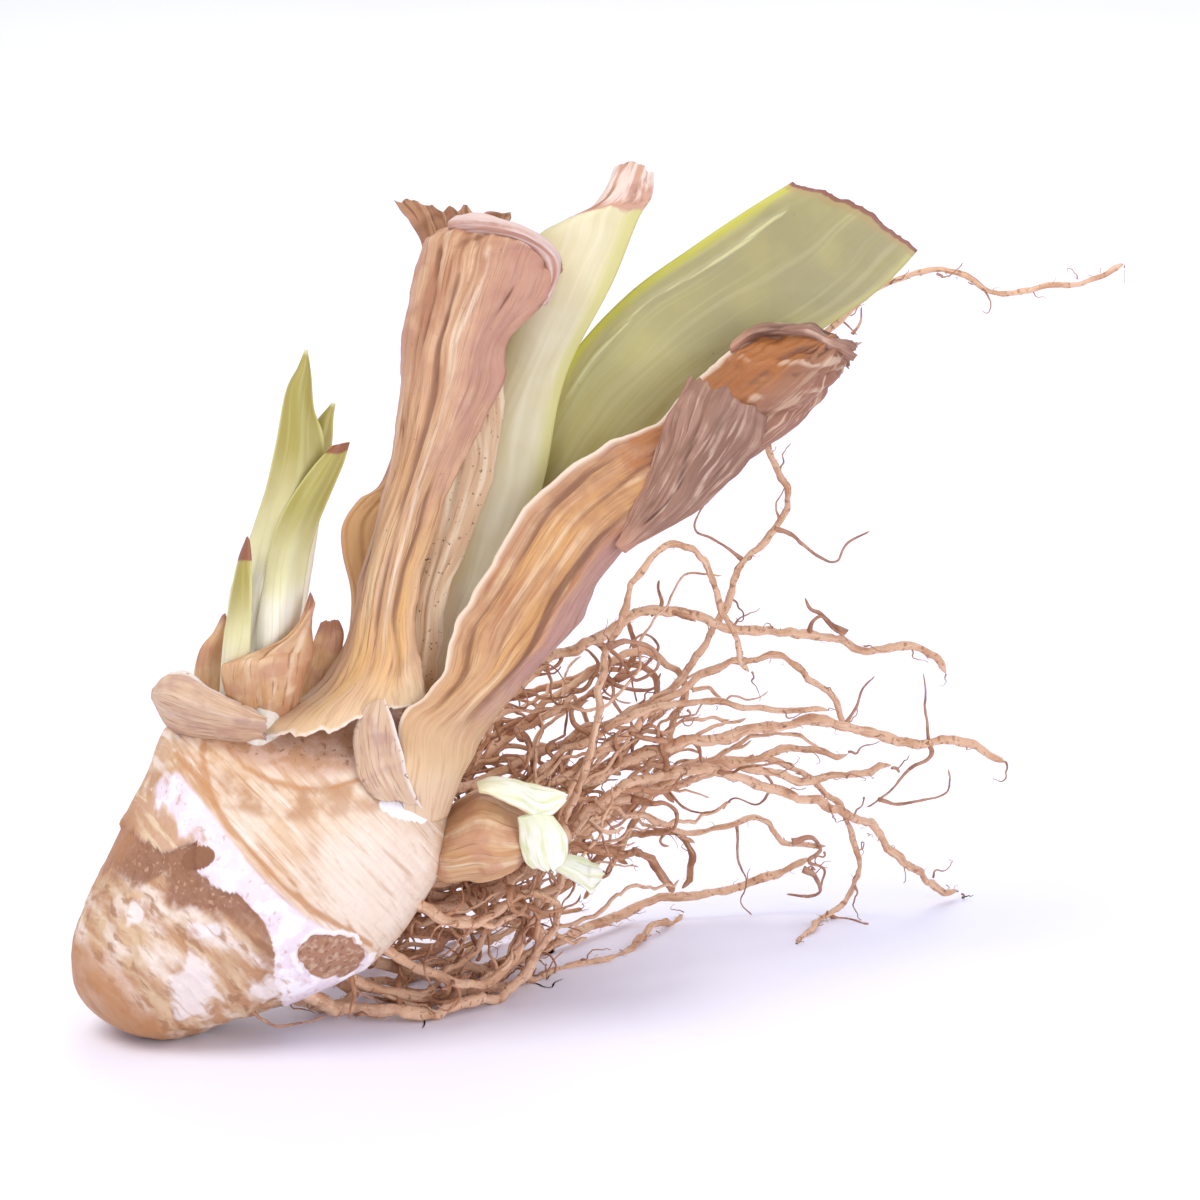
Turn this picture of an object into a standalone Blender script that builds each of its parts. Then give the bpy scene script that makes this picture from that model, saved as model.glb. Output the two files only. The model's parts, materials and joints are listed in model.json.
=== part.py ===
"""A bare-root bearded iris rhizome: body, trimmed leaf fan, side shoot, second bud and roots.

Metres, +Z up, standing on z = 0. Every outline and route is a short list of points
(across, down, depth): across and down are pixels of the photograph, depth is millimetres
behind the middle of the body. place() turns them into real positions, as seen by a viewer
who looks along +Y and a little down.
"""

import math

import bmesh
import bpy
import numpy as np

# The view that the outlines are drawn in. One pixel is PIXEL wide at the middle of the plant.
PIXEL = 0.00038
VIEW_ACROSS = 934
VIEW_DOWN = 706
VIEW_DISTANCE = 1.08
LOOK_DOWN = math.radians(14)
VIEW_HEIGHT = 0.0843
BODY_BACK = -0.027

# Driving sizes of the plant
GAP = 0.0003
DRY_LEAF_THICK = 0.0011
GREEN_LEAF_THICK = 0.0016
SHEATH_THICK = 0.0010
SHOOT_LEAF_THICK = 0.0022
BUD_LEAF_THICK = 0.0014
EDGE_THINNING = 0.35
SKIN_STEP = 0.0007
RING_DEPTH = 0.0008
ROOT_SPACE = 0.0013
ROOT_STEP = 0.002
ROOT_SEGMENT = 0.009
ROOT_TIP = 0.6

# How far the leaf fan leans back for each pixel that it rises above the crown
CROWN_DOWN = 765
LEAN_BACK = 0.06

# The growth axis of the body: its old end, and its direction in pixels
OLD_END = (690, 910)
GROWTH = (0.727, -0.687)
UPWARD = (-0.687, -0.727)

FLOOR = None


def place(across, down, depth):
    """The real position of the point seen at a pixel, at a depth in millimetres."""
    right = (across - VIEW_ACROSS) * PIXEL
    up = (VIEW_DOWN - down) * PIXEL
    ray_back = VIEW_DISTANCE * math.cos(LOOK_DOWN) + up * math.sin(LOOK_DOWN)
    ray_up = up * math.cos(LOOK_DOWN) - VIEW_DISTANCE * math.sin(LOOK_DOWN)
    reach = (depth / 1000 + VIEW_DISTANCE * math.cos(LOOK_DOWN)) / ray_back
    height = VIEW_HEIGHT + VIEW_DISTANCE * math.sin(LOOK_DOWN) + ray_up * reach
    return np.array((right * reach, BODY_BACK + depth / 1000, height))


def floor_depth(down, height):
    """The depth at which the line of sight through a pixel comes down to a height."""
    up = (VIEW_DOWN - down) * PIXEL
    ray_back = VIEW_DISTANCE * math.cos(LOOK_DOWN) + up * math.sin(LOOK_DOWN)
    ray_up = up * math.cos(LOOK_DOWN) - VIEW_DISTANCE * math.sin(LOOK_DOWN)
    reach = (height - VIEW_HEIGHT - VIEW_DISTANCE * math.sin(LOOK_DOWN)) / ray_up
    return 1000 * (reach * ray_back - VIEW_DISTANCE * math.cos(LOOK_DOWN))


def through(points, steps):
    """Points on a smooth curve through the given ones, with equal steps between each two."""
    points = np.asarray(points, float)
    padded = np.concatenate([[2 * points[0] - points[1]], points, [2 * points[-1] - points[-2]]])
    curve = []
    for i in range(1, len(padded) - 2):
        before, start, end, after = padded[i - 1 : i + 3]
        for step in range(steps):
            t = step / steps
            curve.append(
                start
                + 0.5 * t * (end - before)
                + t * t * (before - 2.5 * start + 2 * end - 0.5 * after)
                + t * t * t * 0.5 * (3 * start - before - 3 * end + after)
            )
    curve.append(points[-1])
    return np.array(curve)


def even(curve, spacing):
    """The same curve with points at an even spacing, ends kept."""
    lengths = np.linalg.norm(np.diff(curve, axis=0), axis=1)
    along = np.concatenate([[0], np.cumsum(lengths)])
    count = max(3, round(along[-1] / spacing) + 1)
    wanted = np.linspace(0, along[-1], count)
    return np.stack([np.interp(wanted, along, curve[:, i]) for i in range(3)], axis=1)


def material(name, colour, roughness):
    """A plain surface; the colour is given as red, green and blue from 0 to 255."""
    made = bpy.data.materials.new(name)
    made.use_nodes = True
    linear = [(value / 255) ** 2.2 for value in colour]
    shader = made.node_tree.nodes["Principled BSDF"]
    shader.inputs["Base Color"].default_value = (*linear, 1)
    shader.inputs["Roughness"].default_value = roughness
    shader.inputs["Metallic"].default_value = 0
    return made


def add_mesh(name, points, faces, surface):
    mesh = bpy.data.meshes.new(name)
    mesh.from_pydata([tuple(point) for point in points], [], faces)
    shape = bmesh.new()
    shape.from_mesh(mesh)
    bmesh.ops.recalc_face_normals(shape, faces=shape.faces)
    shape.to_mesh(mesh)
    shape.free()
    mesh.shade_smooth()
    mesh.materials.append(surface)
    made = bpy.data.objects.new(name, mesh)
    bpy.context.scene.collection.objects.link(made)
    return made


def loft(name, rings, surface):
    """A closed solid through rings of points, with a point at each end."""
    around = len(rings[0])
    points = [rings[0].mean(axis=0)] + [point for ring in rings for point in ring]
    points.append(rings[-1].mean(axis=0))
    faces = []
    for i in range(around):
        after = (i + 1) % around
        faces.append((0, 1 + after, 1 + i))
        for row in range(len(rings) - 1):
            near = 1 + row * around
            far = near + around
            faces.append((near + i, near + after, far + after, far + i))
        last = 1 + (len(rings) - 1) * around
        faces.append((len(points) - 1, last + i, last + after))
    return add_mesh(name, points, faces, surface)


def sheet(name, rows, thick, surface, steps=1, lean=0.0):
    """A thin closed solid over rows of (across, down, depth) points, thinner at its edges."""
    grid = np.array([[place(a, d, y + lean * (CROWN_DOWN - d)) for a, d, y in row] for row in rows])
    grid = np.array([through(row, 2) for row in grid])
    grid = through(grid.reshape(len(rows), -1), steps).reshape(-1, grid.shape[1], 3)
    along = np.gradient(grid, axis=0)
    across = np.gradient(grid, axis=1)
    normal = np.cross(along, across)
    normal /= np.linalg.norm(normal, axis=2, keepdims=True)
    count, wide = grid.shape[:2]
    side = np.linspace(-1, 1, wide)
    end = np.linspace(-1, 1, count)
    thinner_side = 1 - EDGE_THINNING * side**2
    thinner_end = 1 - EDGE_THINNING * end**8
    half = 0.5 * thick * thinner_side[None, :] * thinner_end[:, None]
    front = grid + normal * half[:, :, None]
    back = grid - normal * half[:, :, None]
    points = np.concatenate([front.reshape(-1, 3), back.reshape(-1, 3)])
    shift = count * wide
    faces = []
    for i in range(count - 1):
        for j in range(wide - 1):
            a = i * wide + j
            faces.append((a, a + 1, a + wide + 1, a + wide))
            faces.append((shift + a, shift + a + wide, shift + a + wide + 1, shift + a + 1))
    rim = list(range(wide))
    rim += [i * wide + wide - 1 for i in range(1, count)]
    rim += [(count - 1) * wide + j for j in range(wide - 2, -1, -1)]
    rim += [i * wide for i in range(count - 2, 0, -1)]
    for i, a in enumerate(rim):
        b = rim[(i + 1) % len(rim)]
        faces.append((a, shift + a, shift + b, b))
    return add_mesh(name, points, faces, surface)


def largest_piece(mesh):
    """Leaves only the biggest of a mesh's separate islands."""
    shape = bmesh.new()
    shape.from_mesh(mesh)
    shape.verts.ensure_lookup_table()
    left = set(shape.verts)
    islands = []
    while left:
        waiting = [left.pop()]
        island = set(waiting)
        while waiting:
            vertex = waiting.pop()
            for edge in vertex.link_edges:
                other = edge.other_vert(vertex)
                if other in left:
                    left.discard(other)
                    island.add(other)
                    waiting.append(other)
        islands.append(island)
    keep = max(islands, key=len)
    bmesh.ops.delete(shape, geom=[v for v in shape.verts if v not in keep], context="VERTS")
    shape.to_mesh(mesh)
    shape.free()


def grown(shape, by):
    """A hidden copy of a solid, larger by a distance all round."""
    copy = shape.copy()
    copy.data = shape.data.copy()
    copy.name = shape.name + "_clearance"
    copy.hide_render = True
    copy.display_type = "WIRE"
    bpy.context.scene.collection.objects.link(copy)
    swell = copy.modifiers.new("swell", "DISPLACE")
    swell.mid_level = 0
    swell.strength = by
    return copy


def cut_clear(shape, others):
    """Cuts a solid back from its neighbours, so that it ends a gap away from them."""
    for other in others:
        guide = grown(other, GAP)
        cut = shape.modifiers.new("clear", "BOOLEAN")
        cut.operation = "DIFFERENCE"
        cut.solver = "EXACT"
        cut.object = guide
        graph = bpy.context.evaluated_depsgraph_get()
        mesh = bpy.data.meshes.new_from_object(shape.evaluated_get(graph))
        shape.modifiers.clear()
        shape.data = mesh
        bpy.data.objects.remove(guide)
        largest_piece(mesh)


# The body: distance along the growth axis, middle and half width across it in pixels,
# half depth and middle depth in millimetres
BODY_STATIONS = [
    (-7, 12, 0.5, 0.3, -5),
    (-5, 11, 12, 6, -5),
    (0, 8, 23, 11, -5),
    (10, 6, 34.5, 15.5, -5),
    (26, 4.5, 43.5, 19, -4),
    (45, 4, 51.5, 21.5, -4),
    (68, 3, 61.5, 23.5, -3),
    (92, 2.5, 70, 25, -2),
    (114, 5, 78, 25.5, -1),
    (134, 3, 75, 24.5, 0),
    (155, -3, 64, 22, 1),
    (176, -9, 51, 19.5, 2),
    (192, -6, 39, 17, 3),
    (205, -4, 28, 14, 4),
    (214, -3, 15, 9, 4),
    (218, -3, 0.5, 0.3, 4),
]
BODY_STEPS = 2
BODY_AROUND = 28

# The edge of the peeled skin and the growth rings, in pixels along the growth axis
SKIN_EDGE = 85
SKIN_EDGE_DIP = 15
SKIN_EDGE_WAVE = 4
SKIN_EDGE_SLOPE = 2
RINGS = (108, 130, 152, 170)
RING_WIDTH = 5
RING_SLANT = 5
FULL_RELIEF = 20


def body_ring(along, middle, half_wide, half_deep, depth):
    """One cross-section of the body, square to the growth axis."""
    ring = []
    for i in range(BODY_AROUND):
        turn = 2 * math.pi * i / BODY_AROUND
        side = math.cos(turn)
        edge = SKIN_EDGE - SKIN_EDGE_DIP * side**2 + SKIN_EDGE_WAVE * math.sin(3 * turn)
        skin = SKIN_STEP / (1 + math.exp((edge - along) / SKIN_EDGE_SLOPE))
        slanted = along - RING_SLANT * math.sin(turn)
        groove = sum(math.exp(-(((slanted - ring_at) / RING_WIDTH) ** 2)) for ring_at in RINGS)
        relief = (skin - RING_DEPTH * groove) * min(1, half_wide / FULL_RELIEF)
        wide = half_wide + relief / PIXEL
        deep = half_deep + 1000 * relief
        centre_across = OLD_END[0] + along * GROWTH[0] + middle * UPWARD[0]
        centre_down = OLD_END[1] + along * GROWTH[1] + middle * UPWARD[1]
        centre = place(centre_across, centre_down, depth)
        rim = place(centre_across + wide * UPWARD[0], centre_down + wide * UPWARD[1], depth)
        point = centre + (rim - centre) * side
        point[1] += deep / 1000 * math.sin(turn)
        ring.append(point)
    return np.array(ring)


def make_rhizome(surface):
    stations = through(BODY_STATIONS, BODY_STEPS)
    rings = [body_ring(*station) for station in stations]
    body = loft("rhizome", rings, surface)
    for vertex in body.data.vertices:
        vertex.co.z = max(vertex.co.z, 0.0)
    return body


# The leaf fan, each leaf as rows from its base to its cut end, left edge to right edge
LEFT_DRY_LEAF = [
    [(757, 768, -12), (775, 773, -16), (793, 772, -18), (808, 767, -17), (824, 758, -15)],
    [(768, 761, -10), (784, 762, -14), (800, 760, -16), (815, 756, -16), (832, 752, -14)],
    [(787, 751, -8), (799, 751, -12), (811, 749, -14), (825, 747, -14), (840, 746, -12)],
    [(799, 737, -5), (809, 737, -10), (819, 736, -12), (830, 734, -12), (842, 732, -10)],
    [(806, 718, -3), (814, 717, -8), (822, 716, -10), (831, 714, -10), (841, 712, -8)],
    [(812, 690, -1), (819, 689, -6), (827, 688, -9), (836, 687, -9), (846, 686, -6)],
    [(824, 646, 1), (832, 646, -5), (840, 646, -8), (848, 646, -8), (857, 646, -5)],
    [(830, 605, 3), (841, 605, -3), (853, 604, -6), (867, 603, -7), (883, 600, -4)],
    [(832, 578, 4), (845, 577, -2), (858, 576, -5), (873, 576, -6), (890, 577, -4)],
    [(838, 543, 5), (851, 543, -1), (868, 544, -4), (888, 548, -5), (909, 553, -4)],
    [(845, 524, 5), (856, 525, 0), (872, 527, -3), (892, 531, -4), (915, 542, -3)],
    [(856, 519, 5), (866, 517, 1), (878, 517, -1), (894, 522, -2), (912, 536, -2)],
]
BACK_DRY_LEAF = [
    [(800, 775, 6), (815, 776, 5), (832, 775, 5)],
    [(806, 735, 5), (816, 735, 4), (828, 735, 4)],
    [(809, 705, 6), (818, 705, 5), (832, 705, 5)],
    [(804, 683, 7), (815, 682, 5), (835, 682, 5)],
    [(804, 668, 8), (815, 667, 6), (836, 667, 6)],
    [(813, 655, 8), (824, 655, 7), (840, 655, 7)],
    [(825, 646, 8), (835, 646, 8), (850, 646, 8)],
    [(836, 610, 9), (848, 610, 9), (866, 610, 8)],
    [(842, 560, 10), (856, 560, 9), (880, 558, 9)],
    [(845, 532, 11), (861, 530, 10), (886, 528, 10)],
    [(839, 517, 11), (860, 517, 12), (888, 519, 11)],
    [(831, 506, 12), (857, 508, 13), (891, 514, 12)],
]
SPOTTED_DRY_LEAF = [
    [(835, 768, -6), (841, 769, -7), (847, 768, -6)],
    [(836, 747, -7), (842, 748, -8), (848, 747, -7)],
    [(838, 728, -5), (847, 728, -6), (855, 728, -4)],
    [(838, 707, -3), (849, 706, -4), (858, 702, -2)],
    [(845, 682, -1), (856, 682, -2), (867, 681, 0)],
    [(850, 646, 0), (865, 646, -1), (880, 646, 1)],
    [(858, 615, 1), (871, 615, 0), (885, 615, 2)],
    [(868, 590, 2), (877, 590, 1), (886, 592, 2)],
]
GREEN_MIDDLE_LEAF = [
    [(846, 770, 0), (851, 771, -1), (856, 770, 0)],
    [(848, 750, -1), (853, 750, -2), (858, 750, -1)],
    [(851, 735, 0), (857, 735, -1), (864, 735, 0)],
    [(855, 717, 2), (862, 716, 1), (870, 714, 2)],
    [(860, 690, 4), (873, 690, 2), (888, 688, 3)],
    [(866, 650, 6), (885, 650, 4), (905, 650, 5)],
    [(876, 610, 7), (894, 610, 5), (913, 608, 6)],
    [(886, 584, 7), (903, 584, 5), (921, 584, 6)],
    [(895, 550, 8), (916, 550, 6), (940, 548, 7)],
    [(903, 524, 8), (926, 518, 6), (953, 516, 7)],
    [(930, 509, 8), (944, 505, 7), (960, 504, 7)],
    [(942, 489, 8), (951, 487, 7), (961, 492, 7)],
]
GREEN_RIGHT_LEAF = [
    [(851, 769, 4), (856, 771, 3), (862, 769, 4)],
    [(854, 748, 4), (859, 750, 3), (865, 748, 4)],
    [(862, 725, 5), (870, 727, 4), (880, 726, 5)],
    [(872, 690, 7), (885, 695, 6), (902, 697, 7)],
    [(888, 650, 9), (908, 655, 8), (928, 660, 8)],
    [(905, 612, 10), (930, 620, 9), (955, 630, 9)],
    [(921, 582, 11), (950, 596, 9), (980, 610, 10)],
    [(948, 553, 12), (978, 572, 10), (1008, 592, 11)],
    [(978, 531, 13), (1009, 552, 11), (1040, 574, 12)],
    [(1003, 514, 14), (1037, 534, 12), (1072, 552, 13)],
    [(1017, 505, 14), (1050, 519, 12), (1085, 540, 13)],
    [(1030, 497, 14), (1062, 508, 12), (1093, 531, 13)],
]
RIGHT_DRY_LEAF = [
    [(837, 807, -16), (844, 811, -18), (851, 811, -18), (857, 809, -15), (861, 804, -11)],
    [(833, 782, -20), (843, 786, -22), (853, 788, -22), (862, 787, -18), (869, 793, -12)],
    [(833, 763, -20), (845, 769, -22), (857, 772, -21), (868, 773, -17), (876, 777, -11)],
    [(846, 754, -17), (858, 757, -19), (872, 757, -18), (884, 757, -14), (893, 754, -8)],
    [(857, 738, -14), (870, 742, -16), (886, 742, -15), (899, 740, -11), (908, 735, -5)],
    [(860, 722, -11), (876, 727, -13), (895, 728, -12), (912, 725, -9), (926, 716, -3)],
    [(874, 699, -8), (892, 703, -10), (910, 704, -9), (925, 702, -6), (935, 696, -2)],
    [(899, 657, -6), (915, 666, -8), (931, 674, -8), (948, 675, -5), (961, 667, -1)],
    [(934, 630, -4), (948, 640, -6), (962, 650, -6), (978, 655, -4), (988, 651, 0)],
    [(962, 618, -3), (975, 625, -6), (988, 632, -7), (1000, 638, -5), (1010, 636, 0)],
    [(985, 594, -2), (997, 603, -6), (1010, 612, -8), (1024, 618, -5), (1036, 617, 0)],
    [(1010, 572, -1), (1022, 584, -6), (1034, 592, -7), (1046, 597, -4), (1056, 592, 1)],
    [(1038, 569, 0), (1046, 572, -3), (1052, 576, -4), (1058, 580, -2), (1062, 576, 2)],
]

# The papery remains of older leaves in front of the crown
TORN_SHEATH = [
    [(821, 761, -18), (824, 760, -19), (827, 758, -18)],
    [(811, 771, -18), (819, 771, -20), (829, 769, -19)],
    [(811, 787, -19), (819, 787, -21), (829, 786, -20)],
    [(817, 798, -19), (824, 798, -21), (831, 797, -20)],
    [(823, 806, -18), (829, 807, -20), (834, 807, -19)],
]
CURLED_SHEATH = [
    [(709, 752, -8), (711, 748, -9), (713, 744, -7)],
    [(712, 760, -11), (716, 752, -15), (721, 742, -12)],
    [(722, 768, -14), (727, 757, -19), (733, 746, -15)],
    [(737, 771, -16), (741, 763, -21), (746, 753, -17)],
    [(750, 771, -18), (752, 766, -21), (755, 758, -18)],
    [(760, 768, -19), (760, 766, -20), (761, 763, -19)],
]

# The side shoot
SHOOT_TALL_LEAF = [
    [(747, 757, -5), (758, 762, -9), (772, 760, -6)],
    [(748, 740, -4), (760, 742, -9), (778, 738, -5)],
    [(751, 715, -3), (765, 715, -8), (784, 712, -4)],
    [(757, 685, -2), (770, 685, -7), (786, 682, -3)],
    [(762, 665, -2), (773, 664, -6), (785, 662, -3)],
    [(769, 632, -1), (778, 632, -4), (789, 630, -2)],
    [(777, 602, -1), (783, 602, -3), (790, 604, -1)],
    [(785, 584, -1), (787, 583, -2), (789, 586, -1)],
]
SHOOT_SECOND_LEAF = [
    [(772, 745, 0), (779, 745, -1), (786, 742, 0)],
    [(776, 690, 1), (783, 690, 0), (790, 690, 1)],
    [(782, 650, 2), (789, 650, 1), (796, 648, 2)],
    [(788, 625, 2), (793, 624, 1), (798, 624, 2)],
    [(798, 608, 2), (800, 606, 1), (802, 608, 2)],
]
SHOOT_RIGHT_LEAF = [
    [(756, 757, -13), (766, 759, -14), (776, 752, -11)],
    [(757, 735, -13), (768, 736, -14), (782, 728, -10)],
    [(760, 705, -12), (772, 705, -13), (785, 700, -9)],
    [(767, 675, -11), (777, 675, -12), (789, 675, -8)],
    [(781, 649, -9), (789, 652, -10), (797, 655, -7)],
    [(794, 634, -8), (801, 637, -9), (807, 638, -6)],
    [(803, 627, -7), (806, 625, -7), (809, 627, -6)],
]
SHOOT_LEFT_SHEATH = [
    [(744, 752, -15), (750, 757, -17), (756, 758, -17)],
    [(745, 735, -14), (750, 736, -16), (756, 735, -17)],
    [(748, 712, -13), (752, 712, -15), (758, 710, -16)],
    [(752, 688, -12), (755, 688, -14), (759, 688, -14)],
    [(757, 677, -12), (758, 675, -13), (760, 677, -13)],
]
SHOOT_BROWN_SHEATH = [
    [(750, 756, -20), (763, 760, -21), (776, 752, -18)],
    [(754, 746, -20), (766, 744, -21), (782, 738, -17)],
    [(768, 734, -18), (778, 730, -19), (791, 724, -14)],
    [(781, 721, -16), (786, 716, -16), (793, 710, -13)],
    [(787, 704, -14), (789, 702, -14), (791, 705, -13)],
]
SHOOT_BACK_SHEATH_LEFT = [
    [(727, 754, -1), (738, 757, -2), (748, 757, -1)],
    [(732, 737, 0), (739, 738, -1), (747, 738, 0)],
    [(741, 722, 0), (744, 722, -1), (748, 724, 0)],
    [(745, 714, 0), (747, 713, -1), (749, 716, 0)],
]
SHOOT_BACK_SHEATH_RIGHT = [
    [(790, 742, -1), (796, 743, -1), (803, 740, 0)],
    [(791, 728, -1), (797, 727, -1), (806, 724, 0)],
    [(794, 718, -1), (799, 716, -1), (804, 717, 0)],
]

# The second bud: the middle of each section of its sheath, half height in pixels,
# half depth and depth in millimetres, then its cut leaves
BUD_STATIONS = [
    (850, 829, 8, 5, 1),
    (854, 828, 16, 8, 0),
    (861, 826, 21, 10, -1),
    (872, 823, 23, 10, -2),
    (884, 825, 17, 8, -3),
    (892, 826, 12, 5, -3),
    (896, 826, 6, 2.5, -3),
]
BUD_AROUND = 12
BUD_TILT = 0.2
BUD_UPPER_LEAF = [
    [(872, 798, -8), (876, 802, -12), (881, 807, -15)],
    [(884, 794, -8), (889, 801, -11), (893, 811, -14)],
    [(900, 797, -8), (903, 804, -10), (905, 813, -12)],
    [(919, 802, -8), (916, 806, -9), (911, 812, -10)],
]
BUD_LOWER_LEAF = [
    [(892, 814, -8), (893, 826, -10), (894, 837, -9)],
    [(904, 816, -8), (905, 828, -11), (905, 841, -9)],
    [(917, 823, -7), (918, 831, -9), (917, 838, -7)],
]
BUD_CURL = [
    [(919, 842, 0), (921, 846, -1), (923, 850, 0)],
    [(928, 832, 1), (928, 842, -1), (929, 853, 0)],
    [(935, 836, 2), (935, 843, 0), (934, 850, 1)],
]

# The roots: thickness in millimetres, then the route from inside the body to the tip
ROOTS = {
    "root_upper_long": (2.6, [
        (835, 800, 9), (862, 784, 18), (885, 756, 24), (906, 737, 27), (922, 731, 29),
        (941, 721, 31), (965, 711, 33), (984, 713, 34), (1014, 721, 35), (1039, 720, 36),
        (1057, 730, 37), (1084, 728, 38), (1099, 736, 39), (1107, 743, 40),
    ]),
    "root_arch": (2.0, [
        (815, 872, 0), (842, 890, 4), (870, 899, 7), (896, 880, 9), (907, 857, 9), (918, 840, 9),
        (922, 806, 9), (930, 775, 10), (936, 732, 12), (941, 719, 14), (956, 690, 18),
        (965, 680, 20), (975, 677, 22), (983, 681, 23), (990, 694, 24), (996, 711, 25),
        (1004, 728, 26), (1010, 742, 27),
    ]),
    "root_riser": (1.8, [
        (840, 812, 12), (866, 800, 22), (900, 785, 30), (940, 766, 36), (975, 742, 38),
        (996, 712, 38), (1000, 698, 38), (1008, 685, 38), (1022, 670, 38), (1027, 656, 38),
        (1024, 640, 38), (1020, 627, 38), (1028, 600, 39), (1046, 572, 40), (1074, 549, 41),
        (1101, 545, 41), (1112, 543, 41), (1125, 551, 41), (1150, 551, 41), (1175, 545, 41),
        (1196, 539, 41),
    ]),
    "root_arc": (2.0, [
        (842, 806, 5), (868, 800, 14), (905, 798, 24), (950, 775, 30), (978, 749, 33),
        (990, 740, 34), (1008, 737, 35), (1023, 738, 36), (1042, 745, 37), (1052, 759, 38),
        (1057, 768, 39),
    ]),
    "root_straight": (2.0, [
        (838, 822, 10), (862, 815, 18), (900, 795, 24), (935, 772, 28), (960, 762, 30),
        (1004, 761, 31), (1048, 761, 32),
    ]),
    "root_thick_long": (3.0, [
        (840, 833, 4), (866, 828, 14), (900, 812, 22), (935, 790, 28), (960, 779, 30),
        (984, 777, 32), (1008, 772, 34), (1047, 768, 36), (1063, 773, 37), (1087, 776, 38),
        (1117, 779, 40), (1137, 787, 41),
    ]),
    "root_cut_upper": (2.4, [
        (832, 840, 12), (862, 838, 20), (900, 822, 30), (950, 800, 40), (985, 789, 44),
        (1014, 785, 46), (1033, 781, 47), (1058, 782, 48),
    ]),
    "root_cut_lower": (2.4, [
        (835, 848, 5), (866, 845, 14), (905, 828, 24), (950, 806, 32), (974, 794, 36),
        (996, 789, 38), (1033, 795, 42), (1051, 796, 44), (1080, 790, 46),
    ]),
    "root_long_straight": (2.6, [
        (830, 858, 6), (866, 858, 12), (905, 836, 18), (935, 806, 22), (960, 793, 26),
        (984, 790, 30), (1008, 796, 37), (1033, 804, 44), (1052, 812, 51), (1076, 829, 64),
        (1096, 842, 75), (1115, 853, FLOOR),
    ]),
    "root_hanging": (1.8, [
        (826, 850, 14), (862, 852, 26), (905, 838, 38), (960, 806, 48), (1000, 789, 52),
        (1020, 787, 54), (1045, 802, 57), (1057, 816, 60), (1063, 834, 64), (1061, 849, 68),
        (1050, 862, FLOOR), (1032, 876, FLOOR),
    ]),
    "root_floor_long": (2.8, [
        (806, 878, 8), (825, 888, 14), (845, 894, 18), (870, 892, FLOOR), (898, 883, FLOOR),
        (917, 876, FLOOR), (946, 866, 62), (965, 857, 66), (985, 856, 68), (1008, 845, 70),
        (1027, 842, 70), (1040, 840, 70),
    ]),
    "root_floor_middle": (2.2, [
        (798, 888, 0), (825, 902, 6), (860, 906, FLOOR), (895, 896, FLOOR), (917, 888, FLOOR),
        (941, 882, FLOOR), (960, 873, FLOOR), (976, 862, 68),
    ]),
    "root_floor_front": (3.0, [
        (778, 888, -6), (790, 904, -6), (806, 913, FLOOR), (832, 914, FLOOR), (858, 912, FLOOR),
        (880, 903, 14), (899, 885, 18), (905, 868, 18),
    ]),
    "root_floor_inner": (3.0, [
        (784, 886, 6), (798, 899, 12), (815, 903, FLOOR), (845, 901, FLOOR), (875, 897, FLOOR),
        (898, 889, FLOOR),
    ]),
    "root_under_left": (2.4, [
        (762, 890, -2), (775, 905, 2), (795, 908, FLOOR), (825, 898, FLOOR), (860, 887, FLOOR),
        (892, 874, FLOOR),
    ]),
    "root_drop": (2.0, [
        (830, 822, 16), (868, 790, 30), (915, 755, 38), (950, 735, 42), (968, 738, 43),
        (973, 753, 43), (965, 785, 44), (953, 810, 46), (941, 834, 50), (925, 856, 56),
    ]),
    "root_dark": (2.6, [
        (822, 866, 8), (850, 866, 18), (880, 846, 28), (915, 830, 36), (944, 828, 42),
        (958, 835, 48), (972, 853, 56),
    ]),
    "root_dark_low": (2.2, [
        (815, 858, 14), (848, 874, 26), (885, 866, 36), (925, 840, 46), (956, 820, 54),
        (980, 830, 60), (974, 851, 66),
    ]),
    "root_wavy": (1.8, [
        (838, 838, 16), (870, 822, 30), (915, 812, 42), (950, 812, 50), (973, 821, 54),
        (992, 823, 56), (1007, 812, 57), (1021, 824, 60), (1033, 827, 62), (1046, 832, 64),
    ]),
    "root_back_high": (2.2, [
        (826, 806, 18), (850, 780, 34), (880, 760, 46), (915, 748, 54), (944, 738, 58),
        (962, 744, 60), (958, 766, 62),
    ]),
    "root_back_low": (2.4, [
        (806, 840, 20), (828, 852, 36), (860, 868, 52), (895, 868, 64), (925, 858, 74),
    ]),
    "root_back_floor": (2.6, [
        (795, 860, 18), (812, 878, 36), (835, 884, FLOOR), (870, 871, FLOOR), (905, 857, FLOOR),
    ]),
    "root_mass_upper": (2.0, [
        (834, 814, 14), (872, 778, 36), (905, 765, 46), (935, 752, 50), (955, 728, 52),
        (948, 716, 52),
    ]),
    "root_mass_middle": (2.2, [
        (832, 830, 14), (866, 810, 34), (900, 806, 50), (930, 790, 58), (955, 792, 62),
        (972, 806, 64),
    ]),
    "root_mass_lower": (2.0, [
        (826, 842, 16), (862, 858, 36), (898, 848, 54), (930, 826, 62), (950, 838, 68),
    ]),
    "root_bud_front": (2.2, [
        (838, 854, -4), (862, 868, -4), (882, 862, 0), (902, 848, 2), (913, 862, 6), (900, 884, 14),
    ]),
}
ROOT_SIDES = 6
MERGE = 0.00001
ROUTE_STEPS = 8

# How the roots are moved apart: the rounds, the share of each push that is kept along X, Y
# and Z, and the weights that spread a push over the neighbouring points
UNTANGLE_ROUNDS = 220
UNTANGLE_WAY = np.array((0.5, 1.0, 0.4))
UNTANGLE_SPREAD = np.array((0.1, 0.2, 0.4, 0.2, 0.1))
SAME_DEPTH = 0.00001


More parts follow.
